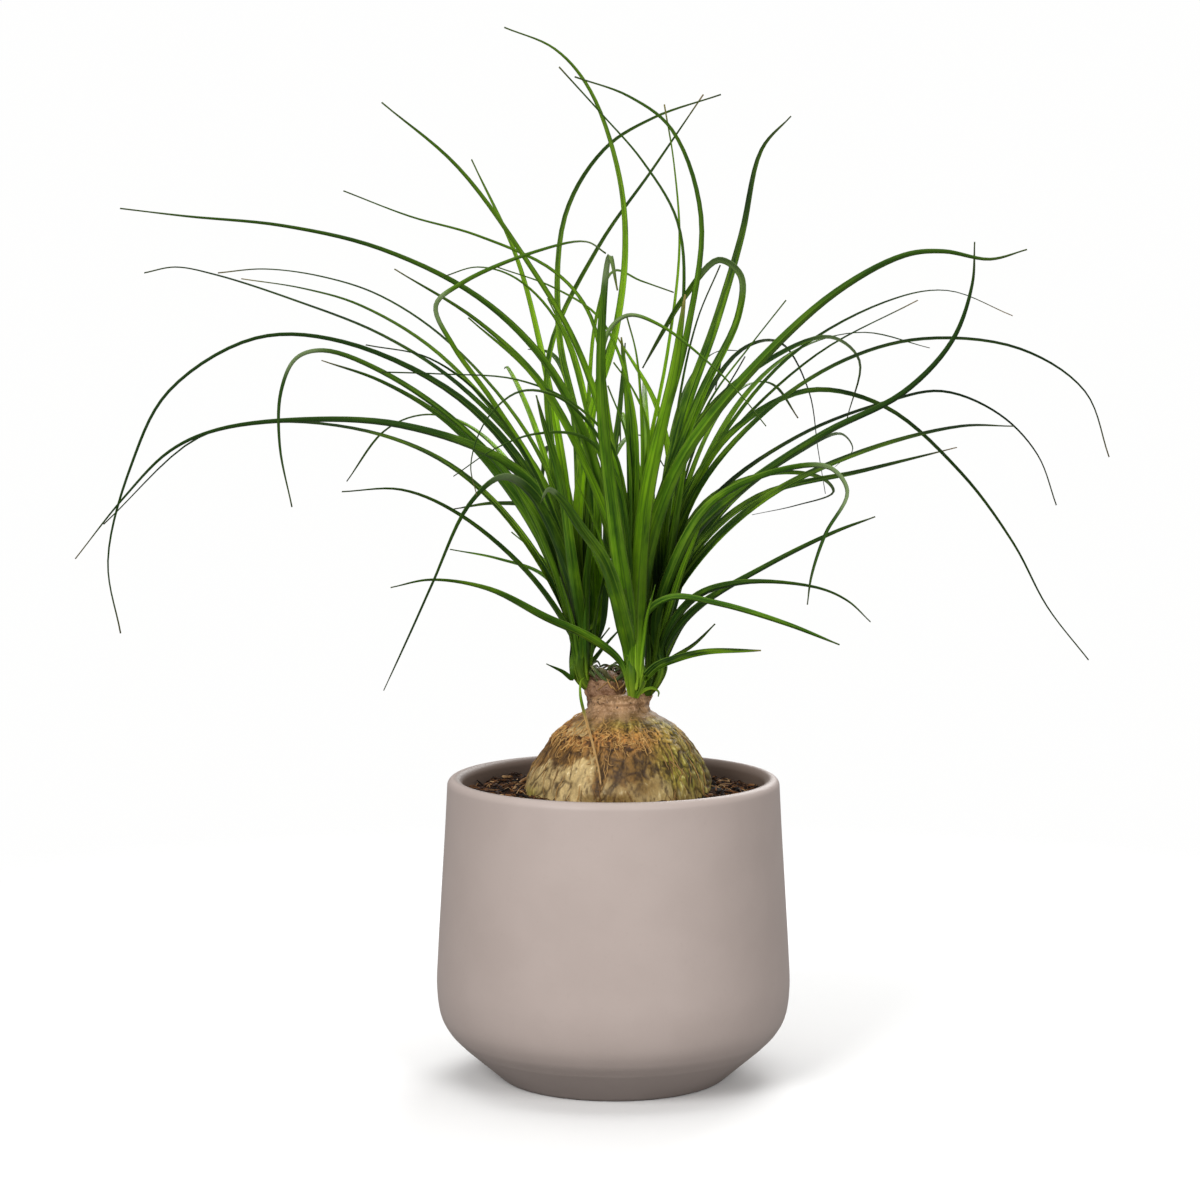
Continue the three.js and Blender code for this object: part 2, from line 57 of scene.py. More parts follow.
# Pot: its height, its foot and the rounding under it, radii and heights up its wall, its lip, and the
# floor and turns of its inside
POT_HEIGHT = 158.5
FOOT_RADIUS = 59.0
FOOT_ROUNDING = 1.2
WALL_PLACES = ((79.8, 18), (86.4, 25), (91, 34), (92.8, 48), (92.2, 66), (90.3, 98), (88.3, 130))
LIP_RADIUS = 87.0
WALL_THICKNESS = 8.0
FLOOR_HEIGHT = 12.0
FLOOR_RADIUS = 65.0
INNER_CORNER = (76.5, 24)
INNER_TURN = (82.8, 35)

# How many rows of the pot's profile before the inner wall turn to the inside's painted shade
LIP_ROWS_INSIDE = 11

# Soil: its level, the heap at the trunk, radii and heights up the pot's wall, its gap to the pot's
# floor, the radii between which chips and fibres lie, and how far out a fibre may reach
SOIL_LEVEL = 148.5
HEAP_HEIGHT = 7.0
HEAP_WIDTH = 11.0
SOIL_WALL = ((76.2, 24), (84.5, 48), (79, 146))
SOIL_GAP = 0.3
LITTER_SPAN = (50, 77)
FIBRES_WITHIN = 76.5

# Trunk: height, radius and middle in X of each ring, then its widest radius and its middle there
TRUNK_RINGS = (
    (118, 18, 2.4), (121, 29, 2.4), (128, 39, 2.4), (138, 45.5, 2.4), (149, 48, 2.4), (157, 47.6, 2.4),
    (165, 44.3, 2.8), (172, 40, 3), (177, 36.8, 3), (181, 33.5, 2.8), (185, 29.3, 3), (188, 25.5, 2.8),
    (191, 21, 2.4), (194, 17, 2.2), (197, 15.2, 2.5), (200, 15, 2.7), (202.5, 12.5, 3),
)
TRUNK_GIRTH = 48.0
TRUNK_MIDDLE = 2.4

# The share of the trunk's profile, from its foot, that lies in the soil
BURIED_SHARE = 0.22

# Heights between which the trunk's form and then its colour turn into the neck's, the collar's middle
# and width, and the height under which most bark is torn to its pale flakes
NECK_FORM = (184.5, 191.5)
NECK_COLOUR = (187.5, 192.5)
COLLAR_HEIGHT = 184.5
COLLAR_WIDTH = 6.5
BARE_BELOW = 165

# Patches of the bark: strength, bearing in radians and its spread, height and its spread
BARE_PATCHES = ((0.8, -2.35, 0.45, 160, 11), (-1.1, -1.5, 0.2, 167, 6), (2.0, -2.3, 0.5, 187, 6))
GREEN_PATCHES = (
    (1.3, -0.7, 0.34, 168, 13), (1.1, -0.15, 0.5, 164, 24),
    (0.9, -2.8, 0.3, 151, 6), (0.6, 1.9, 0.7, 157, 9),
)
# The olive patches are painted shade on the shoulder under the front head, carried in the green value.
OLIVE_SHADE_PATCHES = ((0.6, -1.35, 0.55, 190.5, 5.5), (0.7, -0.4, 0.45, 189, 6.5))

# Sides of the trunk that are lighter or darker all the way up: strength, bearing and its spread
LIGHT_SIDES = ((0.6, -2.35, 0.45), (-0.4, -1.45, 0.35))

# Stump of the old stem and the stubs that carry the side heads: x, y, height and radius
STUMP_RINGS = (
    (-3.5, 3, 190, 11), (-3.8, 3, 199, 9.4), (-4, 3, 203, 10.2), (-4, 3, 207, 9.6),
    (-3.8, 3, 210, 8.6), (-3.4, 3, 212, 6.8), (-3, 3, 213.2, 4.6), (-2.8, 3, 214, 2),
)
LEFT_STUB = ((-4, 2, 193, 8), (-7, 2.5, 199, 6.6), (-11, 2.4, 204.4, 4.6))
RIGHT_STUB = ((10, 4, 190, 7.5), (12.5, 5, 196.5, 6.4), (14.8, 5.5, 200.6, 6))

# Core of each leaf head: x, y, height and radius, from its foot in the trunk
CORES = {
    "left": ((-9.5, 2.5, 200.4, 2.6), (-13.8, 2, 205.5, 3.5), (-15.6, 1, 213, 5), (-18, -1, 245, 4)),
    "front": ((10, -7.5, 197.8, 2.2), (10.2, -8.5, 203, 3.7), (10.4, -9.5, 212, 5.4), (10, -10.5, 248, 4)),
    "right": ((15.4, 5.6, 198.2, 3), (18.4, 6.2, 203.5, 4), (20.6, 7, 213, 5.2), (25, 8, 245, 4)),
}

# Leaves: head, width, how far the tip lies behind the head's root (in front where negative), then
# places along the leaf towards the tip, (x, height) as seen from the eye on the plane y = 0
LEAVES = (
    ("left", 5.5, 50, (-26, 285), (-42, 322), (-80, 363), (-120, 389), (-165, 407), (-205, 420),
     (-226, 424), (-242, 421)),
    ("left", 4, 110, (-24, 290), (-45, 338), (-85, 385), (-120, 409), (-150, 419), (-180, 423),
     (-204, 421)),
    ("left", 5, 140, (-26, 280), (-48, 330), (-90, 379), (-130, 404), (-160, 413), (-192, 418)),
    ("left", 9, -40, (-25, 265), (-42, 312), (-80, 356), (-140, 385), (-185, 387), (-230, 360),
     (-250, 322), (-263, 272), (-257, 234)),
    ("left", 7, -60, (-25, 255), (-42, 298), (-80, 342), (-120, 370), (-150, 381), (-164, 377),
     (-172, 360), (-173, 332), (-167, 300)),
    ("left", 8, -22, (-28, 262), (-50, 303), (-85, 343), (-120, 365), (-151, 376)),
    ("left", 9, -90, (-23, 262), (-36, 303), (-60, 325), (-110, 342), (-160, 345), (-205, 340),
     (-230, 329), (-255, 304), (-280, 273)),
    ("left", 5.5, 60, (-22, 235), (-45, 281), (-80, 318), (-120, 337), (-175, 344), (-215, 336),
     (-265, 291)),
    ("left", 6, 130, (-21, 270), (-27, 325), (-38, 384), (-50, 429), (-73, 479)),
    ("left", 6, 60, (-14, 290), (-18, 340), (-28, 390), (-25, 450), (-5, 484), (20, 500), (55, 512)),
    ("left", 5, 95, (-23, 270), (-32, 330), (-33, 380), (-8, 434), (20, 474), (46, 512)),
    ("left", 7, 30, (-18, 290), (-12, 345), (0, 385), (6, 430), (3, 470), (-12, 514), (-30, 535),
     (-56, 546)),
    ("left", 6.5, -120, (-25, 262), (-37, 310), (-62, 353), (-83, 383), (-92, 404), (-78, 416),
     (-40, 432), (-14, 437), (-4, 431)),
    ("left", 3, -110, (-22, 265), (-38, 312), (-65, 354), (-95, 377), (-128, 384)),
    ("left", 3.5, -100, (-25, 238), (-45, 266), (-80, 296), (-110, 309), (-141, 308)),
    ("left", 8, -150, (-22, 262), (-42, 306), (-57, 315), (-75, 300), (-94, 260), (-105, 236),
     (-120, 204)),
    ("left", 3.2, 110, (-20, 240), (-35, 263), (-60, 273), (-85, 278)),
    ("left", 5, 150, (-21, 262), (-37, 297), (-60, 302), (-83, 299)),
    ("left", 2.5, 90, (-22, 248), (-35, 271), (-53, 287)),
    ("left", 7, -90, (-21, 265), (-28, 315), (-36, 343), (-40, 358)),
    ("left", 3.5, 60, (-14, 300), (-13, 350), (-9, 398), (0, 422), (14, 417), (31, 411)),
    ("left", 7, 110, (-8, 240), (-5, 270), (-3, 310), (3, 350), (6, 385)),
    ("left", 5, 80, (-9, 240), (-8, 275), (-10, 325), (-20, 378), (-34, 408)),
    ("left", 8, 120, (-10, 235), (-11, 280), (-14, 320), (-9, 360), (2, 396)),
    ("left", 4, -16, (-21, 210), (-27, 214), (-35, 218)),
    ("left", 2.2, 24, (-12, 222), (-8, 229), (-2, 237)),
    ("left", 3, 30, (-10, 220), (-3, 229), (4, 237)),
    ("front", 9, -70, (8, 250), (-2, 285), (-15, 335), (-36, 375), (-70, 408), (-120, 433), (-170, 445),
     (-220, 450), (-254, 454)),
    ("front", 4.5, -30, (7, 270), (-3, 345), (-12, 398), (-30, 421), (-70, 440), (-105, 450),
     (-139, 463)),
    ("front", 7, -60, (8, 270), (-2, 330), (-20, 384), (-45, 427), (-80, 475), (-119, 508)),
    ("front", 7, -40, (13, 275), (22, 328), (38, 390), (45, 450), (30, 494), (8, 511), (-20, 521)),
    ("front", 4, -20, (13, 280), (26, 345), (36, 405), (33, 447), (15, 478), (-6, 502), (-28, 526)),
    ("front", 3, 20, (13, 300), (28, 380), (34, 435), (31, 477), (26, 507)),
    ("front", 10, -100, (7, 245), (0, 295), (-6, 350), (-6, 395), (-2, 430), (2, 412)),
    ("front", 6, -60, (5, 260), (-8, 305), (-36, 362), (-70, 396), (-113, 423)),
    ("front", 5, -85, (5, 270), (-10, 312), (-40, 366), (-75, 398)),
    ("front", 3.5, -50, (6, 290), (-10, 335), (-28, 394), (-50, 418), (-70, 424), (-88, 419)),
    ("front", 3.5, -20, (11, 290), (10, 350), (-6, 396), (-30, 413), (-60, 424)),
    ("front", 2.5, -95, (10, 270), (0, 330), (-20, 353), (-50, 366), (-90, 369), (-120, 370)),
    ("front", 3, -100, (7, 270), (-2, 325), (-25, 355), (-48, 360), (-66, 345), (-74, 322),
     (-71, 306)),
    ("front", 3, -110, (9, 265), (2, 315), (-15, 336), (-40, 338), (-62, 330), (-83, 316)),
    ("front", 5, -110, (3, 219), (-12, 231), (-35, 242), (-65, 257), (-95, 262), (-116, 258)),
    ("front", 9, -120, (6, 235), (-4, 269), (-17, 289), (-28, 305), (-34, 309), (-38, 302)),
    ("front", 5, -110, (2, 280), (-5, 350), (-4, 388), (7, 399), (24, 394), (50, 374), (66, 358),
     (79, 342)),
    ("front", 11, -90, (14, 250), (22, 290), (38, 328), (75, 374), (115, 411), (150, 430), (170, 432),
     (194, 428), (213, 433)),
    ("front", 6, 40, (14, 250), (24, 300), (45, 345), (80, 376), (112, 388), (127, 376),
     (121, 346)),
    ("front", 2.5, 60, (14, 265), (28, 305), (50, 355), (71, 384), (89, 407)),
    ("front", 10, 10, (15, 255), (24, 295), (46, 357), (65, 398), (66, 420), (54, 428), (36, 408),
     (25, 390), (15, 372)),
    ("front", 5.5, -25, (13, 222), (17, 243), (30, 252), (55, 249), (90, 239), (118, 228)),
    ("front", 3, -40, (13, 270), (15, 330), (12, 378), (7, 398)),
    ("front", 8, 12, (11, 280), (9, 335), (4, 388)),
    ("front", 11, -60, (13, 260), (18, 310), (31, 370), (37, 410)),
    ("front", 3, -30, (13, 280), (18, 340), (10, 361), (0, 375)),
    ("front", 2.5, -40, (9, 280), (7, 335), (-3, 363)),
    ("front", 6, -30, (17, 210), (24, 216), (34, 220), (50, 224), (77, 225)),
    ("right", 9, -50, (28, 250), (42, 285), (70, 311), (110, 338), (150, 359), (175, 386), (185, 415),
     (186, 437)),
    ("right", 5, 90, (30, 262), (52, 304), (95, 336), (140, 354), (170, 360), (200, 348), (220, 327),
     (230, 301)),
    ("right", 6, 30, (28, 265), (45, 310), (80, 350), (120, 376), (160, 387), (210, 382), (244, 360),
     (257, 326)),
    ("right", 7, 60, (27, 258), (38, 300), (60, 337), (100, 360), (140, 352), (180, 318), (208, 281),
     (226, 248), (248, 220)),
    ("right", 6.5, -30, (26, 240), (45, 273), (80, 305), (130, 329), (180, 342), (207, 342)),
    ("right", 6, 100, (24, 238), (42, 276), (75, 305), (130, 319), (178, 331)),
    ("right", 4, 130, (28, 285), (52, 330), (90, 377), (140, 406), (172, 412), (206, 399)),
    ("right", 3.5, 160, (29, 290), (60, 337), (105, 379), (157, 407)),
    ("right", 6, 150, (26, 280), (40, 340), (66, 381), (86, 385), (101, 360), (106, 330), (110, 307)),
    ("right", 9, 60, (26, 290), (36, 345), (53, 395), (66, 440), (76, 484), (91, 501)),
    ("right", 6.5, 140, (30, 258), (60, 302), (95, 328), (118, 338), (124, 330), (115, 321)),
    ("right", 8.5, -90, (28, 258), (50, 300), (85, 318), (112, 320), (121, 308), (110, 286), (103, 264),
     (101, 249)),
    ("right", 5.5, 120, (26, 260), (48, 302), (80, 317), (108, 315), (114, 308), (95, 301), (72, 296)),
    ("right", 5.5, -40, (27, 224), (42, 245), (80, 269), (115, 287), (136, 295)),
    ("right", 5, -100, (26, 228), (42, 252), (65, 260), (105, 258), (122, 251), (134, 240)),
    ("right", 3.5, 20, (28, 218), (42, 228), (53, 239)),
    ("right", 3, 60, (27, 220), (36, 238), (52, 255)),
    ("right", 5, 60, (25, 260), (30, 315), (22, 353), (2, 388)),
    ("right", 2.5, 120, (26, 275), (34, 355), (43, 396), (55, 425)),
    ("right", 2.5, 150, (27, 270), (42, 330), (68, 378)),
)

# The dry leaf that hangs from the left head down the front of the trunk: (x, y, height)
HANGING_LEAF = (
    (-15, -3, 211), (-17, -8.5, 209.5), (-17, -12.5, 203), (-15.6, -16, 196.5), (-13.8, -22, 190.5),
    (-12, -30.5, 185), (-9.5, -38.5, 176.5), (-7.5, -44, 168.5), (-6.6, -48, 162),
)
HANGING_WIDTH = 1.8
HANGING_BEARING = -100

# The share of its length from which the hanging leaf is dry, and one that no leaf reaches
HANGING_DRY_FROM = 0.25
NEVER_DRY = 2

# The split sheath that curls round the foot of the right head
SHEATH = (
    (15.5, -1.5, 200.2), (14.4, -2.6, 202), (17, -2, 204.2),
    (20.6, 0, 204.6), (23.6, 2.4, 202.6), (23.4, 3, 200.4),
)
SHEATH_WIDTH = 3.0
SHEATH_BEARING = -60

# Leaves that the front view hides: head, count, lowest and highest bearing, shortest and longest
# length, rise at the root in degrees and how far the leaf has turned down at its tip
HIDDEN_LEAVES = (
    ("left", 5, 75, 128, 230, 320, 72, 100),
    ("right", 6, 52, 105, 230, 320, 72, 100),
)

# How the leaves are rooted in their cores: how far off the axis, the lowest root's share of the way
# up and how much higher the most upright leaf's is, and the distance that takes a sheath
ROOT_REACH = 2.4
LOWEST_ROOT = 0.1
ROOT_SPAN = 0.6
LONGEST_SHEATH = 30.0

# How a drawn leaf runs: its steps, and the run that its rise is set against to root it
DRAWN_STEPS = 6
DRAWN_RUN = 30

# How the solid leaves were made and moved clear of their neighbours: rings for each span of the path,
# how much a shift turns a drawn leaf, and the shifts that were tried, back and forward
SOLID_RINGS_PER_SPAN = 1.3
TURN_PER_SHIFT = 0.005
SHIFTS = (0, 12, -12, 24, -24, 36, -36, 48, -48, 60, -60, 75, -75, 90, -90, 110, -110, 130, -130)

# How fine the surfaces are, and how many small things lie on them
LEAF_RINGS_PER_SPAN = 7
FEWEST_LEAF_RINGS = 30
LEAF_SECTION = 9
TRUNK_SIDES = 440
TRUNK_ROWS = 180
BURIED_ROWS = 10
POT_SIDES = 224
WALL_ROWS = 110
INNER_ROWS = 60
SOIL_SIDES = 300
SOIL_ROWS = 40
CHIPS = 1500
FIBRES = 420
SCALES = 22
STRAPS = 16
STRANDS = 520
STRAND_STEPS = 7
STRAND_RINGS = 12
STRAND_SIDES = 6
CHIP_SIDES = 8
CORE_SIDES = 40
CORE_ROWS = 40
FLOOR_SIDES = 96

# Chips and coir fibres in the soil, in millimetres, and a chip's rings: how far along its half length
# each lies, and its share of the width
CHIP_LENGTHS = (2.5, 9)
CHIP_WIDTHS = (0.7, 2.4)
CHIP_PLACES = (-1, -0.8, -0.1, 0.6, 1)
CHIP_SWELL = (0.45, 0.9, 1, 0.9, 0.4)
COIR_LENGTHS = (6, 24)
COIR_RADII = (0.15, 0.34)

# A withered scale, point by point: its rise over the stump's rim as a share of its height, and how far
# from the stump's axis it lies, in millimetres
SCALE_RISES = (-0.2, 0.35, 0.85, 1, 0.9, 0.5)
SCALE_REACHES = (8.6, 9.4, 8.8, 7.2, 5.2, 3.4)

# Curled fibres in the collar and straight strips below it: their heights, as the middle and its spread
# or as a span, their lengths, how far each step and the start turn, their radii and their tints
CURLED_HEIGHTS = (183, 3.5)
STRAIGHT_HEIGHTS = (152, 182)
CURLED = {"lengths": (3, 8), "turn": 0.75, "slant": 0.8, "radii": (0.14, 0.34), "tints": (0.35, 1)}
STRAIGHT = {"lengths": (6, 17), "turn": 0.08, "slant": 0.3, "radii": (0.1, 0.3), "tints": (0, 0.8)}

# A fine core above its foot: its radius at the middle, then heights over its top and radii there
CORE_GIRTH = 3.4
CORE_POINT = ((-16, 2.8), (0, 1.6), (5, 0.5))

# Young leaves that wrap a core: how many, how tall, how far they lean out for their height, how wide
INNER_LEAVES = 7
YOUNG_HEIGHTS = (40, 120)
YOUNG_LEANS = (0.1, 0.45)
YOUNG_WIDTHS = (3.5, 6.5)

# A fine blade: its share of the width at the root, where it reaches it all, its fold, the length in
# which it narrows by a factor of e, and the width of its tip
ROOT_WIDTH = 0.45
FULL_WIDTH_FROM = 45.0
FOLD = 0.5
NARROWING = 205.0
TIP_WIDTH = 0.85

# How far outside its core the foot of the outermost leaf lies, and how bright each head's upright
# leaves are
OUTER_LAYER = 1.3
# The right head's lower tone is painted shade, for its side away from the key light.
TONES = {"left": 0.85, "front": 0.95, "right": 0.75}

# Where the draws start: those of the hidden leaves, as for the solid ones, those of all other pieces,
# and those that make a leaf lighter or darker than its place asks
HIDDEN_SEED = 20261
CHANCE_SEED = 7
SHADE_SEED = 212055

# The width of each head's foot as a share of its solid core's
GRIPS = {"left": 0.7, "front": 0.8, "right": 0.95}

# The bearings in radians between which the collar has no curled fibres
BARE_SIDE = (-0.95, 0.35)

# How far from a head's axis its shaded middle reaches at the foot, in millimetres
FOOT_REACH = {"left": 5.0, "front": 5.0, "right": 8.5}

# How much of the shade inside a head is taken off at its foot
FOOT_LIGHT = {"left": 0.3, "front": 0.9, "right": 0.0}

# How far a leaf of the front view is turned from its natural roll to face the eye, as a share
FACING = 0.6

# Floor: the radii in metres between which it fades, and how white it is to the eye and to the light
FADE_FROM = 0.42
FLOOR_RADIUS_SEEN = 0.8
FLOOR_SEEN = 0.99
FLOOR_LIT = 0.3

# Light from all round: its strength, and how bright and in what colour it shows behind the plant
AMBIENT = 0.3
BACKDROP_SEEN = 1.0
BACKDROP_COLOUR = (0.995, 0.995, 0.992, 1)

# Softboxes: where each stands and the height it faces, in metres, its size and its power in watts
SOFTBOXES = {
    "key": ((-0.95, -1.5, 1.1), 0.2, 0.8, 23),
    "fill": ((0.9, -1.5, 0.9), 0.2, 0.8, 13),
    "top": ((0.0, 0.2, 1.9), 0.2, 1.8, 15),
    "back": ((0.5, 1.6, 1.2), 0.3, 1.0, 17),
}


# Sums that the shapes share

def smooth_step(low, high, value):
    """0 below low, 1 above high, and 3s^2 - 2s^3 between them, with s the share of the way."""
    share = np.clip((np.asarray(value, float) - low) / (high - low), 0, 1)
    return share * share * (3 - 2 * share)


def bump(value, middle, width):
    """A bell: e to the minus square of the distance from the middle in widths."""
    return np.exp(-(((np.asarray(value, float) - middle) / width) ** 2))


def unit(vectors):
    """Vectors at length 1."""
    return vectors / np.maximum(np.linalg.norm(vectors, axis=-1, keepdims=True), 1e-9)


def curve(points, shares, power=0.5):
    """Smooth curve through points, at shares from 0 to 1 of their count.

    Between two points it is a cubic whose end slopes come from the neighbours, with knots spaced by
    distance to the power given: 0.5 keeps tight bends free of loops, and 0 spaces them evenly.
    """
    points = np.asarray(points, float)
    padded = np.vstack([2 * points[0] - points[1], points, 2 * points[-1] - points[-2]])
    place = np.clip(np.asarray(shares, float), 0, 1) * (len(points) - 1)
    start = np.minimum(place.astype(int), len(points) - 2)
    part = (place - start)[:, None]
    a, b, c, d = (padded[start + step] for step in range(4))
    before, between, after = (
        np.maximum(np.linalg.norm(end - begin, axis=1, keepdims=True), 1e-6) ** power
        for begin, end in ((a, b), (b, c), (c, d))
    )
    leave = ((b - a) / before - (c - a) / (before + between) + (c - b) / between) * between
    arrive = ((c - b) / between - (d - b) / (between + after) + (d - c) / after) * between
    square, cube = part ** 2, part ** 3
    return (b + leave * part + (3 * (c - b) - 2 * leave - arrive) * square
            + (2 * (b - c) + leave + arrive) * cube)


class Draws:
    """The same draws as the solid leaves: each number is the last times 16807, modulo 2^31 - 1."""

    def __init__(self, state):
        self.state = state

    def between(self, low, high):
        """The next draw, from low to high."""
        self.state = self.state * 16807 % 2147483647
        return low + (high - low) * self.state / 2147483647


def cell_numbers(cells, seed):
    """A number from 0 to 1 for each whole-number cell (x, y, z): its indices mixed and scrambled."""
    x, y, z = (cells[..., axis].astype(np.uint64) for axis in range(3))
    mixed = x * np.uint64(73856093) ^ y * np.uint64(19349663) ^ z * np.uint64(83492791)
    mixed ^= np.uint64(seed * 2654435761 % 2 ** 32)
    for _ in range(2):
        mixed = (mixed ^ (mixed >> np.uint64(15))) * np.uint64(2246822519) & np.uint64(0xFFFFFFFF)
    return (mixed ^ (mixed >> np.uint64(13))).astype(float) % 65536 / 65536


def noise(points, size, seed):
    """Value noise from -1 to 1: numbers at the corners of cells of a size, blended smoothly between."""
    scaled = np.asarray(points, float) / size + 1000.0
    base = np.floor(scaled)
    part = scaled - base
    part = part * part * (3 - 2 * part)
    total = 0.0
    for corner in range(8):
        offset = np.array([corner & 1, corner >> 1 & 1, corner >> 2 & 1])
        weight = np.prod(np.where(offset == 1, part, 1 - part), axis=-1)
        total = total + weight * cell_numbers(base + offset, seed)
    return 2 * total - 1


def rough(points, size, seed, octaves=2):
    """Noise with finer noise on it: each octave has half the size and half the strength."""
    total = sum(noise(points, size / 2 ** level, seed + level) / 2 ** level for level in range(octaves))
    return total / (2 - 2 ** (1 - octaves))


def plates(points, seed):
    """Plates round scattered seeds, one in each unit cube: how much further the second nearest seed
    is than the nearest, which is 0 on a border, and a number from 0 to 1 for each plate."""
    points = np.asarray(points, float) + 1000.0
    base = np.floor(points)
    nearest = np.full(points.shape[:-1], 9.0)
    second = nearest.copy()
    owner = np.zeros(points.shape[:-1])
    for step in np.ndindex(3, 3, 3):
        cell = base + np.array(step) - 1
        jitter = np.stack([cell_numbers(cell, seed + axis) for axis in range(3)], axis=-1)
        distance = np.linalg.norm(cell + jitter - points, axis=-1)
        closer = distance < nearest
        second = np.where(closer, nearest, np.minimum(second, distance))
        owner = np.where(closer, cell_numbers(cell, seed + 7), owner)
        nearest = np.where(closer, distance, nearest)
    return second - nearest, owner


# Meshes

class Shell:
    """A closed surface in millimetres: points, four-cornered faces, and a value per point by name."""

    def __init__(self, points, faces, values):
        self.points = points
        self.faces = faces
        self.values = values


def grid_shell(grid, **values):
    """A tube from a grid of rows x places: every row is a ring, each joined to the next, and the end
    rings are closed by faces that fold the ring flat. Rings run anticlockwise seen from the last."""
    rows, count = grid.shape[:2]
    index = np.arange(rows * count).reshape(rows, count)
    after = np.roll(index, -1, axis=1)
    sides = np.stack([index[:-1], after[:-1], after[1:], index[1:]], axis=-1).reshape(-1, 4)
    steps = np.arange((count - 1) // 2)
    cap = np.stack([steps, steps + 1, count - 2 - steps, count - 1 - steps], axis=-1)
    cap = cap[cap[:, 1] < cap[:, 2]]
    first = cap[:, ::-1]
    last = cap + (rows - 1) * count
    flat = {name: np.broadcast_to(value, (rows, count)).reshape(-1) for name, value in values.items()}
    return Shell(grid.reshape(-1, 3), np.vstack([sides, first, last]), flat)


def joined(shells):
    """Several shells as one, each keeping its own faces and values."""
    starts = np.cumsum([0] + [len(shell.points) for shell in shells[:-1]])
    return Shell(
        np.vstack([shell.points for shell in shells]),
        np.vstack([shell.faces + start for shell, start in zip(shells, starts)]),
        {name: np.concatenate([shell.values[name] for shell in shells]) for name in shells[0].values},
    )


def new_object(name, data):
    """A new object of the scene that holds the data."""
    thing = bpy.data.objects.new(name, data)
    bpy.context.scene.collection.objects.link(thing)
    return thing


def piece(name, shell, material, replaced=None):
    """A smooth-shaded mesh of a shell, which rides on the part's one body."""
    mesh = bpy.data.meshes.new(name)
    mesh.vertices.add(len(shell.points))
    mesh.vertices.foreach_set("co", (shell.points * MM).astype(np.float32).ravel())
    mesh.loops.add(shell.faces.size)
    mesh.loops.foreach_set("vertex_index", shell.faces.astype(np.int32).ravel())
    mesh.polygons.add(len(shell.faces))
    mesh.polygons.foreach_set("loop_start", np.arange(0, shell.faces.size, 4, dtype=np.int32))
    mesh.update(calc_edges=True)
    mesh.validate()
    for label, value in shell.values.items():
        layer = mesh.attributes.new(label, "FLOAT", "POINT")
        layer.data.foreach_set("value", value.astype(np.float32))
    mesh.polygons.foreach_set("use_smooth", np.ones(len(mesh.polygons), bool))
    mesh.materials.append(material)
    thing = new_object(name, mesh)
    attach(thing, "root")
    if replaced:
        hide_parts(replaced)


# Paths of the leaves, the same as in the solid heads

def seen_at(x, height, depth):
    """The place at a depth that the eye sees at (x, height) on the plane y = 0: the point where the
    line from the eye through that spot reaches the depth."""
    stretch = 1 - depth / EYE[1]
    return np.array([EYE[0] + (x - EYE[0]) * stretch, depth, EYE[2] + (height - EYE[2]) * stretch])


def place_in_core(core, share, bearing):
    """A root in a head's core: a share of the way up it, off its middle towards the bearing."""
    low, high = np.array(core[1][:3]), np.array(core[3][:3])
    return low + (high - low) * share + ROOT_REACH * np.array([math.cos(bearing), math.sin(bearing), 0])


def root_share(rise, run):
    """How high up the core a leaf is rooted: upright leaves stand higher than those that lean out."""
    return LOWEST_ROOT + ROOT_SPAN * float(smooth_step(0.3, 3, rise / max(1.0, run)))


class Leaf:
    """A leaf's head, width, path, the bearing it starts out in, its roll, the share by which it turns
    to face the front, and how high up its core it is rooted."""

    def __init__(self, head, width, points, bearing, roll, facing, share):
        self.head = head
        self.width = width
        self.points = np.array(points)
        self.bearing = bearing
        self.roll = roll
        self.facing = facing
        self.share = share


def shown_leaf(row, shift):
    """A leaf that the front view shows: it goes back or forward in step with its run sideways."""
    head, width, depth, *places = row
    middle = CORES[head][2]
    corners = np.array([(middle[0], middle[2])] + places, float)
    steps = np.abs(np.diff(corners, axis=0)) @ np.array([1, 0.3])
    runs = np.cumsum(steps) / steps.sum()
    outer = [
        seen_at(x, height, middle[1] + (depth + shift) * run) for (x, height), run in zip(places, runs)
    ]
    half_way = outer[math.ceil(len(outer) / 2)]
    bearing = math.atan2(half_way[1] - middle[1], half_way[0] - middle[0])
    run = math.hypot(half_way[0] - middle[0], half_way[1] - middle[1])
    share = root_share(half_way[2] - middle[2], run)
    root = place_in_core(CORES[head], share, bearing)
    points = [root]
    if np.linalg.norm(outer[0] - root) > LONGEST_SHEATH:
        points.append(root + (outer[0] - root) * np.array([0.3, 0.3, 0.45]))
    return Leaf(head, width, points + outer, bearing, 0, FACING, share)


def drawn_leaf(head, width, bearing, length, rise, droop, curl, roll, shift):
    """A leaf drawn at random: it rises from its root and bends over evenly along its length."""
    turned_to = bearing + TURN_PER_SHIFT * shift
    share = root_share(rise, DRAWN_RUN)
    shares = (np.arange(DRAWN_STEPS) + 0.5) / DRAWN_STEPS
    slopes = np.radians(rise - droop * shares ** 1.3)
    headings = turned_to + curl * shares ** 2
    strides = length / DRAWN_STEPS * np.stack([
        np.cos(slopes) * np.cos(headings), np.cos(slopes) * np.sin(headings), np.sin(slopes),
    ], axis=1)
    root = place_in_core(CORES[head], share, turned_to)
    points = np.vstack([root, root + np.cumsum(strides, axis=0)])
    return Leaf(head, width, points, turned_to, roll, 0, share)


def solid_corners(name):
    """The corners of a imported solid, in millimetres."""
    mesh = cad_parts[name].data
    corners = np.empty(len(mesh.vertices) * 3)
    mesh.vertices.foreach_get("co", corners)
    return corners.reshape(-1, 3) / MM


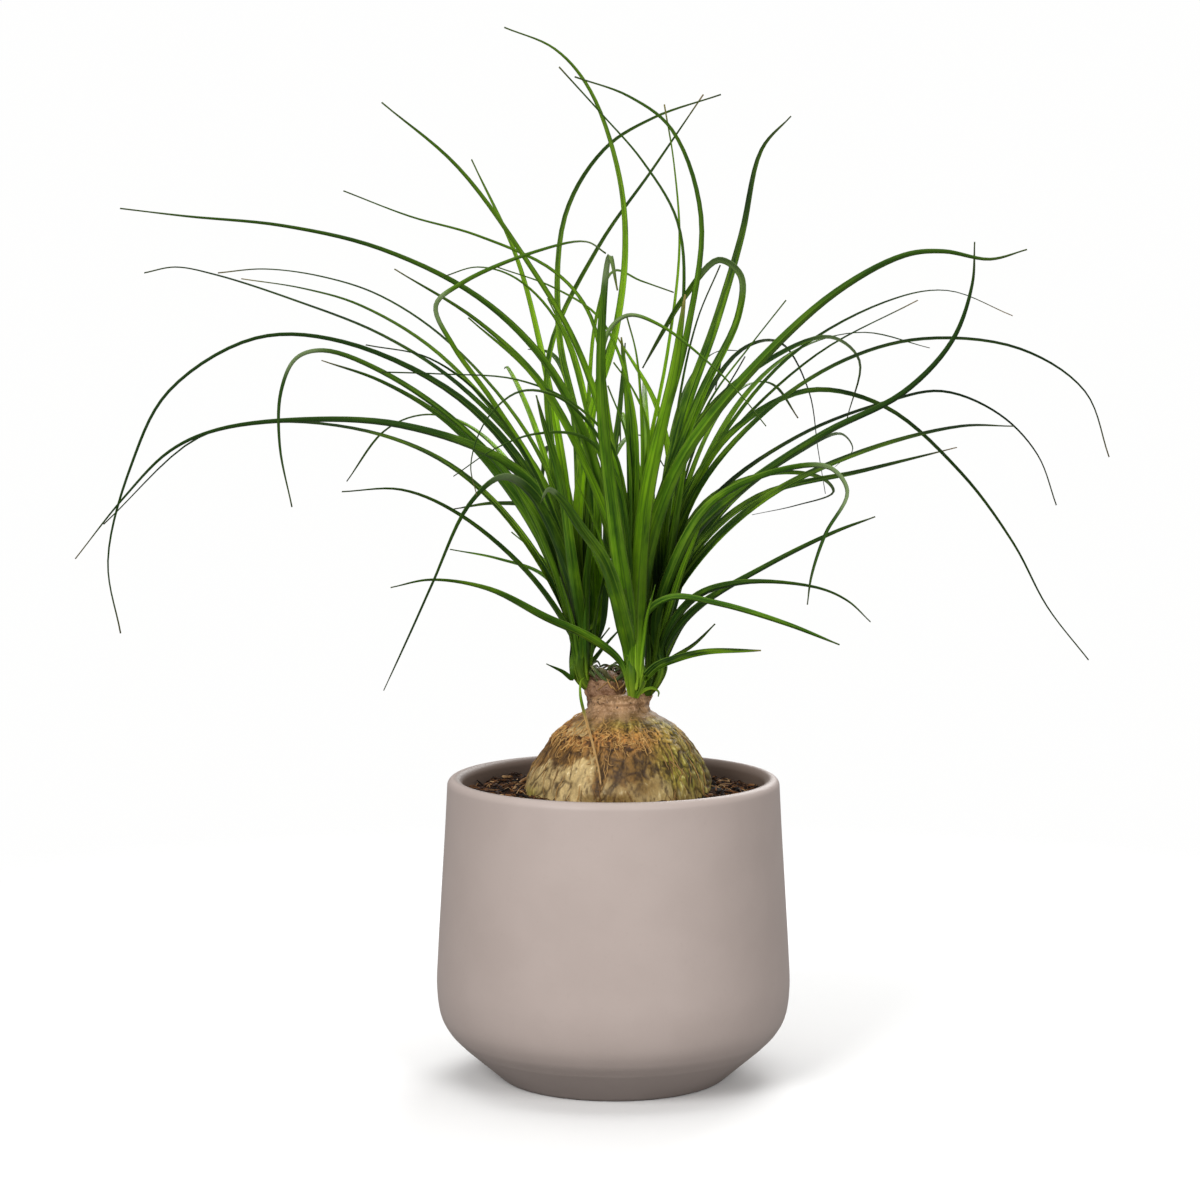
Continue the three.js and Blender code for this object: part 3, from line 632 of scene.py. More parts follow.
def on_solid(make, corners):
    """Of the leaves that make(shift=...) gives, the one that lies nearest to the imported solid."""
    def distance(leaf):
        """The mean distance of the outer half's places from the nearest corner."""
        rings = int((len(leaf.points) - 1) * SOLID_RINGS_PER_SPAN + 0.5)
        places = curve(leaf.points, np.arange(rings // 2, rings + 1) / rings)
        return np.linalg.norm(places[:, None] - corners, axis=2).min(axis=1).mean()
    return min((make(shift=shift) for shift in SHIFTS), key=distance)


def all_leaves():
    """Every rooted leaf where its head's solid has it: the shown ones and the drawn ones."""
    corners = {head: solid_corners(f"leaf_head_{head}") for head in CORES}
    found = [on_solid(partial(shown_leaf, row), corners[row[0]]) for row in LEAVES]
    draws = Draws(HIDDEN_SEED)
    for head, count, low, high, shortest, longest, rise, droop in HIDDEN_LEAVES:
        for index in range(count):
            turn = (index + draws.between(0.2, 0.8)) / count
            facts = {
                "bearing": math.radians(low + (high - low) * turn),
                "length": draws.between(shortest, longest),
                "rise": rise + draws.between(-6, 5),
                "droop": droop * draws.between(0.75, 1.2),
                "curl": draws.between(-0.5, 0.5),
                "roll": draws.between(-0.5, 0.5),
                "width": draws.between(5, 8.5),
            }
            found.append(on_solid(partial(drawn_leaf, head, **facts), corners[head]))
    return found


# Shapes that several pieces share

def ringed_shell(rings, sides, rows, relief=None, **values):
    """Level rings through the given (x, y, height, radius), smoothed by a curve, with relief(place,
    angle) in millimetres added to the radius."""
    profile = curve(rings, np.linspace(0, 1, rows))
    angle = np.linspace(0, TURN, sides, endpoint=False)
    circle = np.stack([np.cos(angle), np.sin(angle), np.zeros(sides)], axis=1)
    grid = profile[:, None, :3] + profile[:, None, 3:] * circle
    if relief is not None:
        grid = grid + relief(grid, angle[None, :])[..., None] * circle
    return grid_shell(grid, **values)


def strand_shell(points, radius, tint):
    """A fibre: a six-sided ring carried along a curve through the points, thinner at its ends."""
    shares = np.linspace(0, 1, STRAND_RINGS)
    places = curve(points, shares)
    along = unit(np.gradient(places, axis=0))
    side = unit(np.cross(along, (0.3, 0.2, 1)))
    up = np.cross(side, along)
    angle = -TURN * np.arange(STRAND_SIDES) / STRAND_SIDES
    thin = radius * (0.35 + 0.65 * np.sin(math.pi * shares) ** 0.5)
    grid = places[:, None] + thin[:, None, None] * (
        side[:, None] * np.cos(angle)[None, :, None] + up[:, None] * np.sin(angle)[None, :, None])
    return grid_shell(grid, tint=tint)


# Leaves

def to_front(places, along, sides, over):
    """The angle at each place from the blade's side to the way across the leaf that the eye sees
    broadside, kept steady along the leaf and under a quarter turn where most of the leaf is."""
    broadside = np.cross(along, unit(places - np.array(EYE)))
    doubled = 2 * np.arctan2((broadside * over).sum(axis=1), (broadside * sides).sum(axis=1))
    steady = np.unwrap(doubled) / 2
    return steady - math.pi * np.round(np.median(steady) / math.pi)


def blade_sides(leaf, places, along, shares, part, wave):
    """The direction across the blade at each place: square to the leaf's bearing at the root, carried
    along without twist, then turned towards the front, by the leaf's roll and by the wave, which is
    a sine along the leaf of a given strength, phase and number of waves."""
    sides = np.empty_like(places)
    side = np.array([-math.sin(leaf.bearing), math.cos(leaf.bearing), 0])
    for ring, direction in enumerate(along):
        side = unit(side - direction * side.dot(direction))
        sides[ring] = side
    over = np.cross(along, sides)
    strength, phase, waves = wave
    lean = leaf.facing * to_front(places, along, sides, over) * smooth_step(0.02, 0.35, shares)
    lean = lean + leaf.roll * smooth_step(0.05, 0.4, shares)
    lean = lean + strength * smooth_step(0.1, 0.6, part) * np.sin(TURN * (waves * part + phase))
    return sides * np.cos(lean)[:, None] + over * np.sin(lean)[:, None]


def half_widths(width, length):
    """Half the blade's width at each length from the root: it grows to the full width, falls off by a
    factor of e in each narrowing length, and closes at the tip like the end of an oval."""
    part = length / length[-1]
    full_from = min(FULL_WIDTH_FROM, 0.3 * length[-1])
    spread = ROOT_WIDTH + (1 - ROOT_WIDTH) * smooth_step(0, full_from, length)
    narrowed = np.exp(-np.maximum(length - full_from, 0) / NARROWING)
    closing = np.clip(length[-1] / 40, 1.5, 8)
    return np.maximum(width * spread * narrowed * np.sqrt(1 - part ** closing), TIP_WIDTH) / 2


def leaf_shell(leaf, tone, dry_from, wave):
    """A strap leaf: a thin section carried along its path.

    Across it the upper face is an arc that opens upwards, plus a fold whose height is the rounded
    distance from the rib. The lower face lies under it by the thickness, with the rib standing out.
    The arc clasps the core at the root and flattens outwards, and the fold opens towards the tip.
    The values say where across and along the blade a point lies, whether that is on its underside,
    how bright and how dry the leaf is there, and how much painted sheen it shows, where it bends hard.
    """
    spans = len(leaf.points) - 1
    shares = np.linspace(0, 1, max(FEWEST_LEAF_RINGS, LEAF_RINGS_PER_SPAN * spans) + 1)
    places = curve(leaf.points, shares)
    along = unit(np.gradient(places, axis=0))
    length = np.concatenate([[0], np.cumsum(np.linalg.norm(np.diff(places, axis=0), axis=1))])
    part = length / length[-1]
    side = blade_sides(leaf, places, along, shares, part, wave)
    up = np.cross(along, side)

    half = half_widths(leaf.width, length)[:, None]
    arc = (0.15 + 0.45 * (1 - smooth_step(5, 40, length)))[:, None]
    fold = FOLD * (1 - smooth_step(0.5, 1, part)) * (1 + 0.5 * (1 - smooth_step(20, 90, length)))
    thick = 0.25 + 0.3 * (1 - part ** 2)

    across = np.linspace(-1, 1, LEAF_SECTION)
    ring = np.concatenate([across, across[-2:0:-1]])
    upper = np.concatenate([np.zeros(LEAF_SECTION), np.ones(LEAF_SECTION - 2)])
    body = (1 - ring ** 4) * (upper - 0.5)
    rib = bump(ring, 0, 0.2) * np.where(upper == 1, 0.1, 0.22)
    sideways = half * np.sin(arc * ring) / np.sin(arc)
    lift = half * (1 - np.cos(arc * ring)) / np.sin(arc)
    lift = lift + half * fold[:, None] * (np.sqrt(ring ** 2 + 0.02) - 0.14)
    lift = lift + thick[:, None] * body - np.minimum(half / 4, 1) * rib
    grid = places[:, None] + side[:, None] * sideways[..., None] + up[:, None] * lift[..., None]

    bend = np.linalg.norm(np.gradient(along, axis=0), axis=1) / np.maximum(np.gradient(length), 0.1)
    bend = np.convolve(np.pad(bend, 3, mode="edge"), np.ones(7) / 7, mode="valid")
    return grid_shell(
        grid,
        # painted sheen where the blade bends hard far out
        silver=(smooth_step(0.02, 0.05, bend) * smooth_step(60, 100, length))[:, None],
        across=(ring + 1) / 2,
        length=length[:, None] / 100,
        part=part[:, None],
        under=1 - upper,
        tone=tone,
        dry=smooth_step(dry_from, dry_from + 0.2, part)[:, None],
        shaded=0,
    )


def slow_wave(chance, strongest):
    """How strongly, from what phase and how often a blade rolls to and fro along itself."""
    return chance.uniform(0.05, strongest), chance.uniform(0, 1), chance.uniform(0.5, 1.3)


def clasped(leaf):
    """The leaf with its foot on its core's surface: one that leans out starts low on the core and
    hugs it from outside, over the feet of the upright ones, which start nearer to its middle. Feet
    of leaves that come forward are gathered to the front."""
    core = np.array(CORES[leaf.head], float)
    forward = float(smooth_step(0.3, 0.9, -math.sin(leaf.bearing)))
    upright = float(smooth_step(0.15, 0.55, leaf.share))
    inner = upright * (1 - 0.8 * forward)
    way = unit(np.array([math.cos(leaf.bearing) * (1 - 0.35 * forward), math.sin(leaf.bearing), 0]))
    over = OUTER_LAYER * (1 - upright)

    def on_core(height, stand_off):
        """The place at a height that stands off the slimmed core, on the leaf's side of it."""
        x, y, radius = (np.interp(height, core[:, 2], core[:, axis]) for axis in (0, 1, 3))
        grip = GRIPS[leaf.head]
        slim = grip + (1 - grip) * float(smooth_step(core[0, 2], core[0, 2] + 20, height))
        return np.array([x, y, height]) + way * (slim * radius + stand_off)

    root = leaf.points[0]
    low = core[0, 2] + 2
    points = [on_core(low, -0.3) * (1 - inner) + root * inner]
    if inner < 0.6:
        points.append(on_core(low + 6, 0.3 + 0.8 * over - 2 * inner))
        points.append(on_core(low + 14 + 6 * inner, 0.4 + 1.4 * over - 3 * inner))
    leaf.points = np.vstack([points, leaf.points[1:]])
    return leaf


def inner_leaves(head, chance):
    """The young upright leaves that wrap a head's core, evenly spread round it: each leans out by a
    share of its height."""
    core = np.array(CORES[head], float)
    found = []
    for index in range(INNER_LEAVES):
        bearing = TURN * (index + chance.uniform(-0.3, 0.3)) / INNER_LEAVES
        way = np.array([math.cos(bearing), math.sin(bearing), 0])
        tall = chance.uniform(*YOUNG_HEIGHTS)
        lean = chance.uniform(*YOUNG_LEANS) * tall
        points = [core[1, :3] + (0, 0, -2) + way, core[2, :3] + way * (core[2, 3] - 1.2)]
        crown = core[2, :3] + (core[3, :3] - core[2, :3]) * tall / 32
        for share, out in ((0.35, 0.15), (0.7, 0.5), (1, 1)):
            points.append(points[1] + (crown - core[2, :3]) * share + way * (1.5 + lean * out))
        found.append(Leaf(head, chance.uniform(*YOUNG_WIDTHS), points, bearing, 0, 0, 0.7))
    return found


def depth_in_head(head, points):
    """How deep each point lies in the bundle, for the painted shade inside a head: 1 on the head's
    axis and 0 at the edge of a cone that opens upwards round it, fading out where the leaves part and
    where light reaches the foot."""
    low, high = np.array(CORES[head][2][:3]), np.array(CORES[head][3][:3])
    height = points[:, 2]
    axis = low + (high - low) * ((height - low[2]) / (high[2] - low[2]))[:, None]
    cone = FOOT_REACH[head] + 0.33 * np.maximum(height - low[2], 0)
    reach = np.linalg.norm(points[:, :2] - axis[:, :2], axis=1) / cone
    lit = FOOT_LIGHT[head] * (1 - smooth_step(low[2] - 5, low[2] + 60, height))
    return (1 - smooth_step(0.25, 0.9, reach)) * (1 - smooth_step(250, 330, height)) * (1 - lit)


def head_shell(head, leaves, chance, shading):
    """A head: its core, which narrows to a point among the young leaves, with every leaf of it rooted
    on or in it. Each leaf is the darker the more it leans out, and shading draws how far it is off
    that."""
    foot, low, middle, top = CORES[head]
    slim = GRIPS[head]
    rings = [(*foot[:3], slim * foot[3]), (*low[:3], slim * low[3]), (*middle[:3], CORE_GIRTH)]
    rings += [(*top[:2], top[2] + above, radius) for above, radius in CORE_POINT]
    plain = {"silver": 0, "across": 0.3, "length": 0.3, "part": 0.01, "under": 1, "dry": 0, "shaded": 0}
    shells = [ringed_shell(rings, CORE_SIDES, CORE_ROWS, tone=0.2, **plain)]
    for leaf in inner_leaves(head, chance):
        wave = slow_wave(chance, 0.25)
        shells.append(leaf_shell(leaf, chance.uniform(0.4, 1), NEVER_DRY, wave))
    for leaf in leaves:
        age = 1 - (leaf.share - LOWEST_ROOT) / ROOT_SPAN
        tone = np.clip(TONES[head] - 0.7 * age + shading.uniform(-0.35, 0.35), 0, 1)
        wave = slow_wave(chance, 0.3)
        shells.append(leaf_shell(clasped(leaf), tone, chance.uniform(0.9, 1.1), wave))
    shell = joined(shells)
    shell.values["shaded"] = depth_in_head(head, shell.points)
    return shell


def sheath_shell():
    """The split sheath that curls round the foot of the right head."""
    leaf = Leaf("right", SHEATH_WIDTH, SHEATH, math.radians(SHEATH_BEARING), 0.8, 0, LOWEST_ROOT)
    return leaf_shell(leaf, 0.95, NEVER_DRY, (0.4, 0.2, 1.0))


def hanging_shell():
    """The dry leaf that hangs down the front of the trunk, green at its root and straw further on."""
    leaf = Leaf("left", HANGING_WIDTH, HANGING_LEAF, math.radians(HANGING_BEARING), 0, 0, LOWEST_ROOT)
    return leaf_shell(leaf, 0.35, HANGING_DRY_FROM, (0.2, 0.1, 1.0))


# Trunk and its neck

def patches(spots, angle, height):
    """The sum of the spots, each a bell in bearing times a bell in height."""
    return sum(
        strength * bump(angle, bearing, spread) * bump(height, level, rise)
        for strength, bearing, spread, level, rise in spots
    )


def noise_vector(place, size, seed):
    """Three fields of noise as the parts of a vector, which bends the patterns of the bark."""
    return np.stack([rough(place, size, seed=seed + axis) for axis in range(3)], axis=-1)


def trunk_reach(radius, angle, height):
    """The profile's radius times 1 plus three waves round the trunk: its long shallow furrows."""
    furrows = (0.016 * np.sin(3 * angle + height / 25) + 0.012 * np.sin(7 * angle - height / 9)
               + 0.01 * np.sin(13 * angle + height / 6))
    return radius * (1 + furrows * smooth_step(150, 158, height))


def cracks(place, warp, swirl):
    """Cracks from 0 to 1 along the borders of large plates and of small ones, each broken in places
    by noise, and each large plate's own number."""
    border, owner = plates((place + 7 * warp + 1.2 * swirl) / (19, 19, 23), seed=5)
    large = (1 - smooth_step(0.015, 0.09, border)) * smooth_step(-0.2, 0.3, rough(place, 9, seed=31))
    border, _ = plates((place + 5 * warp + 2 * swirl) / (8, 8, 12), seed=15)
    small = (1 - smooth_step(0.02, 0.15, border)) * smooth_step(-0.1, 0.3, rough(place, 6, seed=33))
    return np.maximum(large, 0.85 * small), owner


def streaks(place, height, collar, warp, swirl):
    """Fine and coarse noise drawn out up the trunk: its places are points on a cylinder, whose height
    counts up slowly on the sides and faster and more bent in the collar."""
    climb = np.cumsum(np.gradient(height[:, 0]) / (6 - 4 * collar.mean(axis=1)))
    drawn = np.empty_like(place)
    drawn[..., :2] = 40 * unit(place[..., :2] - (TRUNK_MIDDLE, 0))
    drawn[..., 2] = climb[:, None]
    drawn[..., :2] += 5 * warp[..., :2] + (0.8 + 3.2 * collar[..., None]) * swirl[..., :2]
    drawn[..., 2] += (0.4 + 2 * collar) * swirl[..., 2]
    return rough(drawn, 1.7, seed=61), noise(drawn, 4, seed=71)


def trunk_shell():
    """The swollen trunk, as level rings of the profile's reach, plus the bark's relief: torn pale
    flakes with cracks low down, streaks up the sides, a collar of curly fibres under the neck, and
    ring scars on the neck. The values say how much of each the bark shows at a point, and how light
    and how green it is, where green also carries olive painted shade under the front head."""
    buried = np.linspace(0, BURIED_SHARE, BURIED_ROWS, endpoint=False)
    shares = np.concatenate([buried, np.linspace(BURIED_SHARE, 1, TRUNK_ROWS)])
    height, radius, middle = curve(TRUNK_RINGS, shares).T[:, :, None]
    angle = np.linspace(-math.pi, math.pi, TRUNK_SIDES, endpoint=False)[None, :]
    reach = trunk_reach(radius, angle, height)
    across, away = reach * np.cos(angle), reach * np.sin(angle)
    place = np.stack([middle + across, away, height + 0 * angle], axis=-1)

    warp = noise_vector(place, size=16, seed=21)
    swirl = noise_vector(place, size=5, seed=24)
    wavy = height + 3 * warp[..., 1] + 1.5 * swirl[..., 0]
    neck = smooth_step(*NECK_FORM, wavy)
    collar = bump(height + 2 * warp[..., 2], COLLAR_HEIGHT, COLLAR_WIDTH) * (1 - neck)
    crack, owner = cracks(place, warp, swirl)
    fibre, coarse = streaks(place, height, collar, warp, swirl)
    flake = rough(place, 2.2, seed=81)
    scratch = rough(place / (0.6, 0.6, 2.4) + 1.2 * swirl, 1.6, seed=97)
    torn = rough(place / (1, 1, 2.2) + 1.5 * swirl, 9, seed=95, octaves=3)
    bare = torn + (BARE_BELOW - height) / 20 + patches(BARE_PATCHES, angle, height)
    pale = smooth_step(-0.12, 0.24, bare + 0.25 * flake + 0.2 * fibre)

    relief = 0.5 * pale + 0.5 * (owner - 0.5) * pale - 0.5 * crack * (1 - neck) + 0.2 * flake
    relief = relief + 0.22 * scratch * (1 - neck) + (0.25 + 0.5 * collar) * fibre
    relief = relief + (0.15 + 0.35 * collar) * coarse
    relief = relief * (1 - 0.5 * neck) + 0.25 * neck * np.sin(height * TURN / 3.2 + 3 * warp[..., 2])
    relief = relief * smooth_step(146, 150, height)
    place[..., 0] += relief * np.cos(angle)
    place[..., 1] += relief * np.sin(angle)

    mottle = rough(place, 7, seed=91, octaves=3)
    lighter = sum(strength * bump(angle, bearing, spread) for strength, bearing, spread in LIGHT_SIDES)
    green = np.clip(patches(GREEN_PATCHES, angle, height) * (0.75 + 0.8 * mottle), 0, 1) * (1 - neck)
    return grid_shell(
        place,
        collar=collar,
        neck=smooth_step(*NECK_COLOUR, wavy),
        crack=np.clip(crack * (1 - neck), 0, 1),
        fibre=0.5 + 0.35 * fibre + 0.3 * scratch,
        tint=np.clip(0.25 + 0.4 * owner + 0.7 * mottle + lighter, 0, 1),
        # Green growth on the bark, plus the olive patches, which are painted shade under the front head
        green=green + patches(OLIVE_SHADE_PATCHES, angle, height),
        pale=pale * (1 - neck),
    )


def strands_on_trunk(trunk, chance):
    """Fibres and torn strips that lie on the bark: each wanders over the grid of the trunk's surface
    by strides whose heading turns at random. One in four is a long straight strip low down, and the
    others are short and curled, in the collar."""
    surface = trunk.points.reshape(-1, TRUNK_SIDES, 3)
    rows_at = surface[:, :, 2].mean(axis=1)
    shells = []
    for index in range(STRANDS):
        curly = index % 4 != 0
        kind = CURLED if curly else STRAIGHT
        height = chance.normal(*CURLED_HEIGHTS) if curly else chance.uniform(*STRAIGHT_HEIGHTS)
        stride = chance.uniform(*kind["lengths"]) / STRAND_STEPS
        turns = chance.normal(0, kind["turn"], STRAND_STEPS)
        heading = -math.pi / 2 + chance.normal(0, kind["slant"]) + np.cumsum(turns)
        across = np.concatenate([[0], np.cumsum(np.cos(heading))]) * stride
        down = np.concatenate([[0], np.cumsum(np.sin(heading))]) * stride
        heights = np.clip(height + down, 150, 192)
        row = np.clip(np.searchsorted(rows_at, heights), 1, len(rows_at) - 2)
        girth = np.hypot(surface[row, 0, 0] - TRUNK_MIDDLE, surface[row, 0, 1])
        angle = chance.uniform(-math.pi, math.pi) + across / np.maximum(girth, 10)
        column = np.round((angle / TURN + 0.5) * TRUNK_SIDES).astype(int) % TRUNK_SIDES
        out = unit(surface[row, column] - (TRUNK_MIDDLE, 0, 150))
        stand = 0.1 + chance.uniform(0, 0.5) * np.sin(np.linspace(0, math.pi, len(row)))
        radius = chance.uniform(*kind["radii"])
        tint = chance.uniform(*kind["tints"])
        on_bare_side = curly and BARE_SIDE[0] < angle[0] < BARE_SIDE[1]
        if not on_bare_side:
            shells.append(strand_shell(surface[row, column] + out * stand[:, None], radius, tint))
    return joined(shells)


def neck_relief(place, angle):
    """Faint ring scars up a stem, broken by rough bark with pits in it, in millimetres."""
    wave = rough(place, 6, seed=101)
    pits = smooth_step(0.35, 0.6, rough(place, 2.6, seed=107))
    scars = 0.14 * np.sin(place[..., 2] * TURN / 3.1 + 3 * wave)
    return scars + 0.6 * wave + 0.3 * rough(place, 1.5, seed=111) - 0.5 * pits


def stump_relief(place, angle):
    """The ring scars on a stump that is lobed five and nine times round."""
    lobes = 0.5 * np.sin(5 * angle + place[..., 2] / 2) + 0.3 * np.sin(9 * angle)
    return neck_relief(place, angle) + lobes


def neck_shell():
    """The stump of the old stem and the stubs that carry the side heads."""
    plain = {"neck": 1, "crack": 0, "fibre": 0.5, "tint": 0.5, "green": 0, "pale": 0}
    return joined([
        ringed_shell(STUMP_RINGS, 120, 90, stump_relief, collar=1, **plain),
        ringed_shell(LEFT_STUB, 80, 40, neck_relief, collar=0.5, **plain),
        ringed_shell(RIGHT_STUB, 80, 40, neck_relief, collar=0, **plain),
    ])


def scales_shell(chance):
    """Withered remains of old leaf bases on the stump: narrow crumpled strips that rise from its rim
    and run on round it and inwards over its top, a step of angle further at every point."""
    x, y, rim, _ = STUMP_RINGS[4]
    count = len(SCALE_RISES)
    shells = []
    for index in range(SCALES):
        bearing = TURN * (index + chance.uniform(-0.4, 0.4)) / SCALES
        step = chance.choice([-1, 1]) * chance.uniform(0.25, 0.55)
        tall = chance.uniform(2, 8)
        rises = rim + tall * (np.array(SCALE_RISES) + chance.normal(0, 0.1, count))
        reaches = np.array(SCALE_REACHES) + chance.normal(0, 0.5, count)
        angles = bearing + step * np.arange(count)
        points = np.stack([x + reaches * np.cos(angles), y + reaches * np.sin(angles), rises], axis=1)
        leaf = Leaf("left", chance.uniform(1.6, 3.6), points, bearing, chance.uniform(-1, 1), 0, 0)
        tone = chance.uniform(0, 1)
        wave = (0.8, chance.uniform(0, 1), 2.0)
        shells.append(leaf_shell(leaf, tone, NEVER_DRY, wave))
    return joined(shells)


def straps_shell(chance):
    """Dry strips of old leaf bases that cross on the stump's side: each climbs it on a slant."""
    rings = np.array(STUMP_RINGS, float)
    shells = []
    for _ in range(STRAPS):
        height = np.linspace(chance.uniform(200, 206), chance.uniform(207, 212), 6)
        angle = chance.uniform(0, TURN) + np.linspace(0, chance.uniform(-1.1, 1.1), 6)
        x, y, radius = (np.interp(height, rings[:, 2], rings[:, axis]) for axis in (0, 1, 3))
        radius = radius + 0.35
        points = np.stack([x + radius * np.cos(angle), y + radius * np.sin(angle), height], axis=1)
        shells.append(strand_shell(points, chance.uniform(0.25, 0.55), chance.uniform(0.35, 1)))
    return joined(shells)


# Pot and soil

def pot_shell():
    """The pot, turned: a profile of radii and heights from the foot up the outside, over the round
    lip and down the inside to the floor, carried round the axis."""
    outer = [*WALL_PLACES, (LIP_RADIUS, POT_HEIGHT - WALL_THICKNESS / 2)]
    wall = curve(outer, np.linspace(0, 1, WALL_ROWS), power=0)
    rounding = np.array([(-1.4, 0), (-0.6, 0.1), (0.1, 0.4), (0.9, 0.9)]) * FOOT_ROUNDING + (FOOT_RADIUS, 0)
    chamfer = rounding[-1] + (wall[0] - rounding[-1]) * np.linspace(0.08, 0.96, 12)[:, None]
    turn = np.linspace(0, math.pi, 18)[1:-1, None]
    reach = WALL_THICKNESS / 2
    lip = np.hstack([LIP_RADIUS - reach + reach * np.cos(turn), POT_HEIGHT - reach + reach * np.sin(turn)])
    inner_wall = np.array(outer[3:])[::-1] - (WALL_THICKNESS, 0)
    inner = [*inner_wall, INNER_TURN, INNER_CORNER, (FLOOR_RADIUS, FLOOR_HEIGHT)]
    inner = curve(inner, np.linspace(0, 1, INNER_ROWS))
    profile = np.vstack([rounding, chamfer, wall, lip, inner])
    angle = np.linspace(0, TURN, POT_SIDES, endpoint=False)
    grid = np.stack([
        profile[:, :1] * np.cos(angle), profile[:, :1] * np.sin(angle),
        np.repeat(profile[:, 1:], POT_SIDES, axis=1),
    ], axis=-1)
    # The inside value is the painted shade that darkens the pot from its lip down its inner wall.
    rows_inside = np.arange(len(profile)) - (len(profile) - len(inner) - LIP_ROWS_INSIDE)
    return grid_shell(grid, inside=smooth_step(0, 5, rows_inside)[:, None])


def soil_height(x, y):
    """The soil's level, heaped against the trunk by a bell, more behind it, with lumps from sines."""
    from_trunk = np.hypot(x - TRUNK_MIDDLE, y) - TRUNK_GIRTH
    behind = 0.25 + 0.75 * smooth_step(-20, 40, y)
    lumps = 0.9 * np.sin(x / 3.1) * np.sin(y / 3.7) + 0.7 * np.sin(x / 5.3 + y / 2.9)
    return SOIL_LEVEL + HEAP_HEIGHT * behind * bump(from_trunk, 0, HEAP_WIDTH) + lumps


def soil_shell():
    """The soil: up the pot's wall, over the rough top to the trunk, and down under it, as rings."""
    angle = np.linspace(0, TURN, SOIL_SIDES, endpoint=False)
    wall = np.array([(FLOOR_RADIUS - SOIL_GAP, FLOOR_HEIGHT + SOIL_GAP), *SOIL_WALL])
    top = np.linspace(SOIL_WALL[-1][0] - 0.2, TRUNK_GIRTH + 0.6, SOIL_ROWS)
    under = np.array(TRUNK_RINGS[3::-1])[:, :2] + (-0.3, 0.4)
    radii = np.concatenate([wall[:, 0], top, under[:, 1]])[:, None]
    centre = np.concatenate([np.zeros(4), TRUNK_MIDDLE * smooth_step(75, 52, top), np.full(4, TRUNK_MIDDLE)])
    x = centre[:, None] + radii * np.cos(angle)
    y = radii * np.sin(angle)
    flat = np.stack([x, y, np.zeros_like(x)], axis=-1)
    crumbs = 1.6 * rough(flat, 5, seed=131, octaves=3) + 0.5 * noise(flat, 1.3, seed=141)
    height = soil_height(x, y) + crumbs
    height[:4] = wall[:, 1:]
    height[-4:] = under[:, :1]
    return grid_shell(np.stack([x, y, height], axis=-1), tint=0.5 + 0.5 * rough(flat, 3, seed=151))


def soil_places(chance, count):
    """Places spread evenly over the soil between the trunk and the wall, at its level."""
    low, high = LITTER_SPAN
    angle = chance.uniform(0, TURN, count)
    radius = np.sqrt(chance.uniform(low ** 2, high ** 2, count))
    x = TRUNK_MIDDLE * (1 - (radius - low) / (high - low)) + radius * np.cos(angle)
    y = radius * np.sin(angle)
    return np.stack([x, y, soil_height(x, y)], axis=1)


def turned(yaw, pitch, roll):
    """A rotation matrix: rolled about X, pitched about Y, then turned about Z."""
    cos_yaw, sin_yaw = math.cos(yaw), math.sin(yaw)
    cos_pitch, sin_pitch = math.cos(pitch), math.sin(pitch)
    cos_roll, sin_roll = math.cos(roll), math.sin(roll)
    about_z = np.array([[cos_yaw, -sin_yaw, 0], [sin_yaw, cos_yaw, 0], [0, 0, 1]])
    about_y = np.array([[cos_pitch, 0, sin_pitch], [0, 1, 0], [-sin_pitch, 0, cos_pitch]])
    about_x = np.array([[1, 0, 0], [0, cos_roll, -sin_roll], [0, sin_roll, cos_roll]])
    return about_z @ about_y @ about_x


def chips_shell(chance):
    """Bark chips: short bars with ragged ends, each a blunt-cornered ring drawn out along it, lying
    in the soil at all bearings with a slight tilt."""
    angle = TURN * (np.arange(CHIP_SIDES) + 0.5) / CHIP_SIDES
    sideways, upwards = (np.sign(wave) * np.abs(wave) ** 0.6 for wave in (np.cos(angle), np.sin(angle)))
    shells = []
    for place in soil_places(chance, CHIPS):
        length, width = chance.uniform(*CHIP_LENGTHS), chance.uniform(*CHIP_WIDTHS)
        thick = width * chance.uniform(0.3, 0.8)
        along = np.array(CHIP_PLACES) * length / 2
        ragged = chance.uniform(0.8, 1.2, (len(CHIP_SWELL), CHIP_SIDES))
        swell = np.array(CHIP_SWELL)[:, None] * ragged
        bend = chance.uniform(-0.5, 0.5) * (along / length) ** 2 * 4
        local = np.stack([
            np.repeat(along[:, None], CHIP_SIDES, axis=1),
            sideways * width / 2 * swell + bend[:, None],
            upwards * thick / 2 * swell,
        ], axis=-1)
        grid = local @ turned(chance.uniform(0, TURN), chance.normal(0, 0.3), chance.uniform(-0.6, 0.6)).T
        lift = chance.uniform(-0.2, 1.6)
        shells.append(grid_shell(grid + place + (0, 0, lift), tint=chance.uniform(0, 1)))
    return joined(shells)


def fibres_shell(chance):
    """Coir fibres: fine strands that wander over the soil and arch a little out of it."""
    shells = []
    for place in soil_places(chance, FIBRES):
        heading, length = chance.uniform(0, TURN), chance.uniform(*COIR_LENGTHS)
        steps = heading + np.cumsum(chance.normal(0, 0.45, 4))
        strides = np.stack([np.cos(steps), np.sin(steps)], axis=1)
        path = np.vstack([[0, 0], np.cumsum(strides, axis=0)]) * length / 4
        x, y = (place[:2] + path).T
        off = np.maximum(np.hypot(x, y) / FIBRES_WITHIN, 1)
        x, y = x / off, y / off
        height = soil_height(x, y) + 0.6 + chance.uniform(0, 2.4) * np.sin(np.linspace(0, math.pi, 5))
        points = np.stack([x, y, height], axis=1)
        shells.append(strand_shell(points, chance.uniform(*COIR_RADII), chance.uniform(0.3, 1)))
    return joined(shells)


# Materials

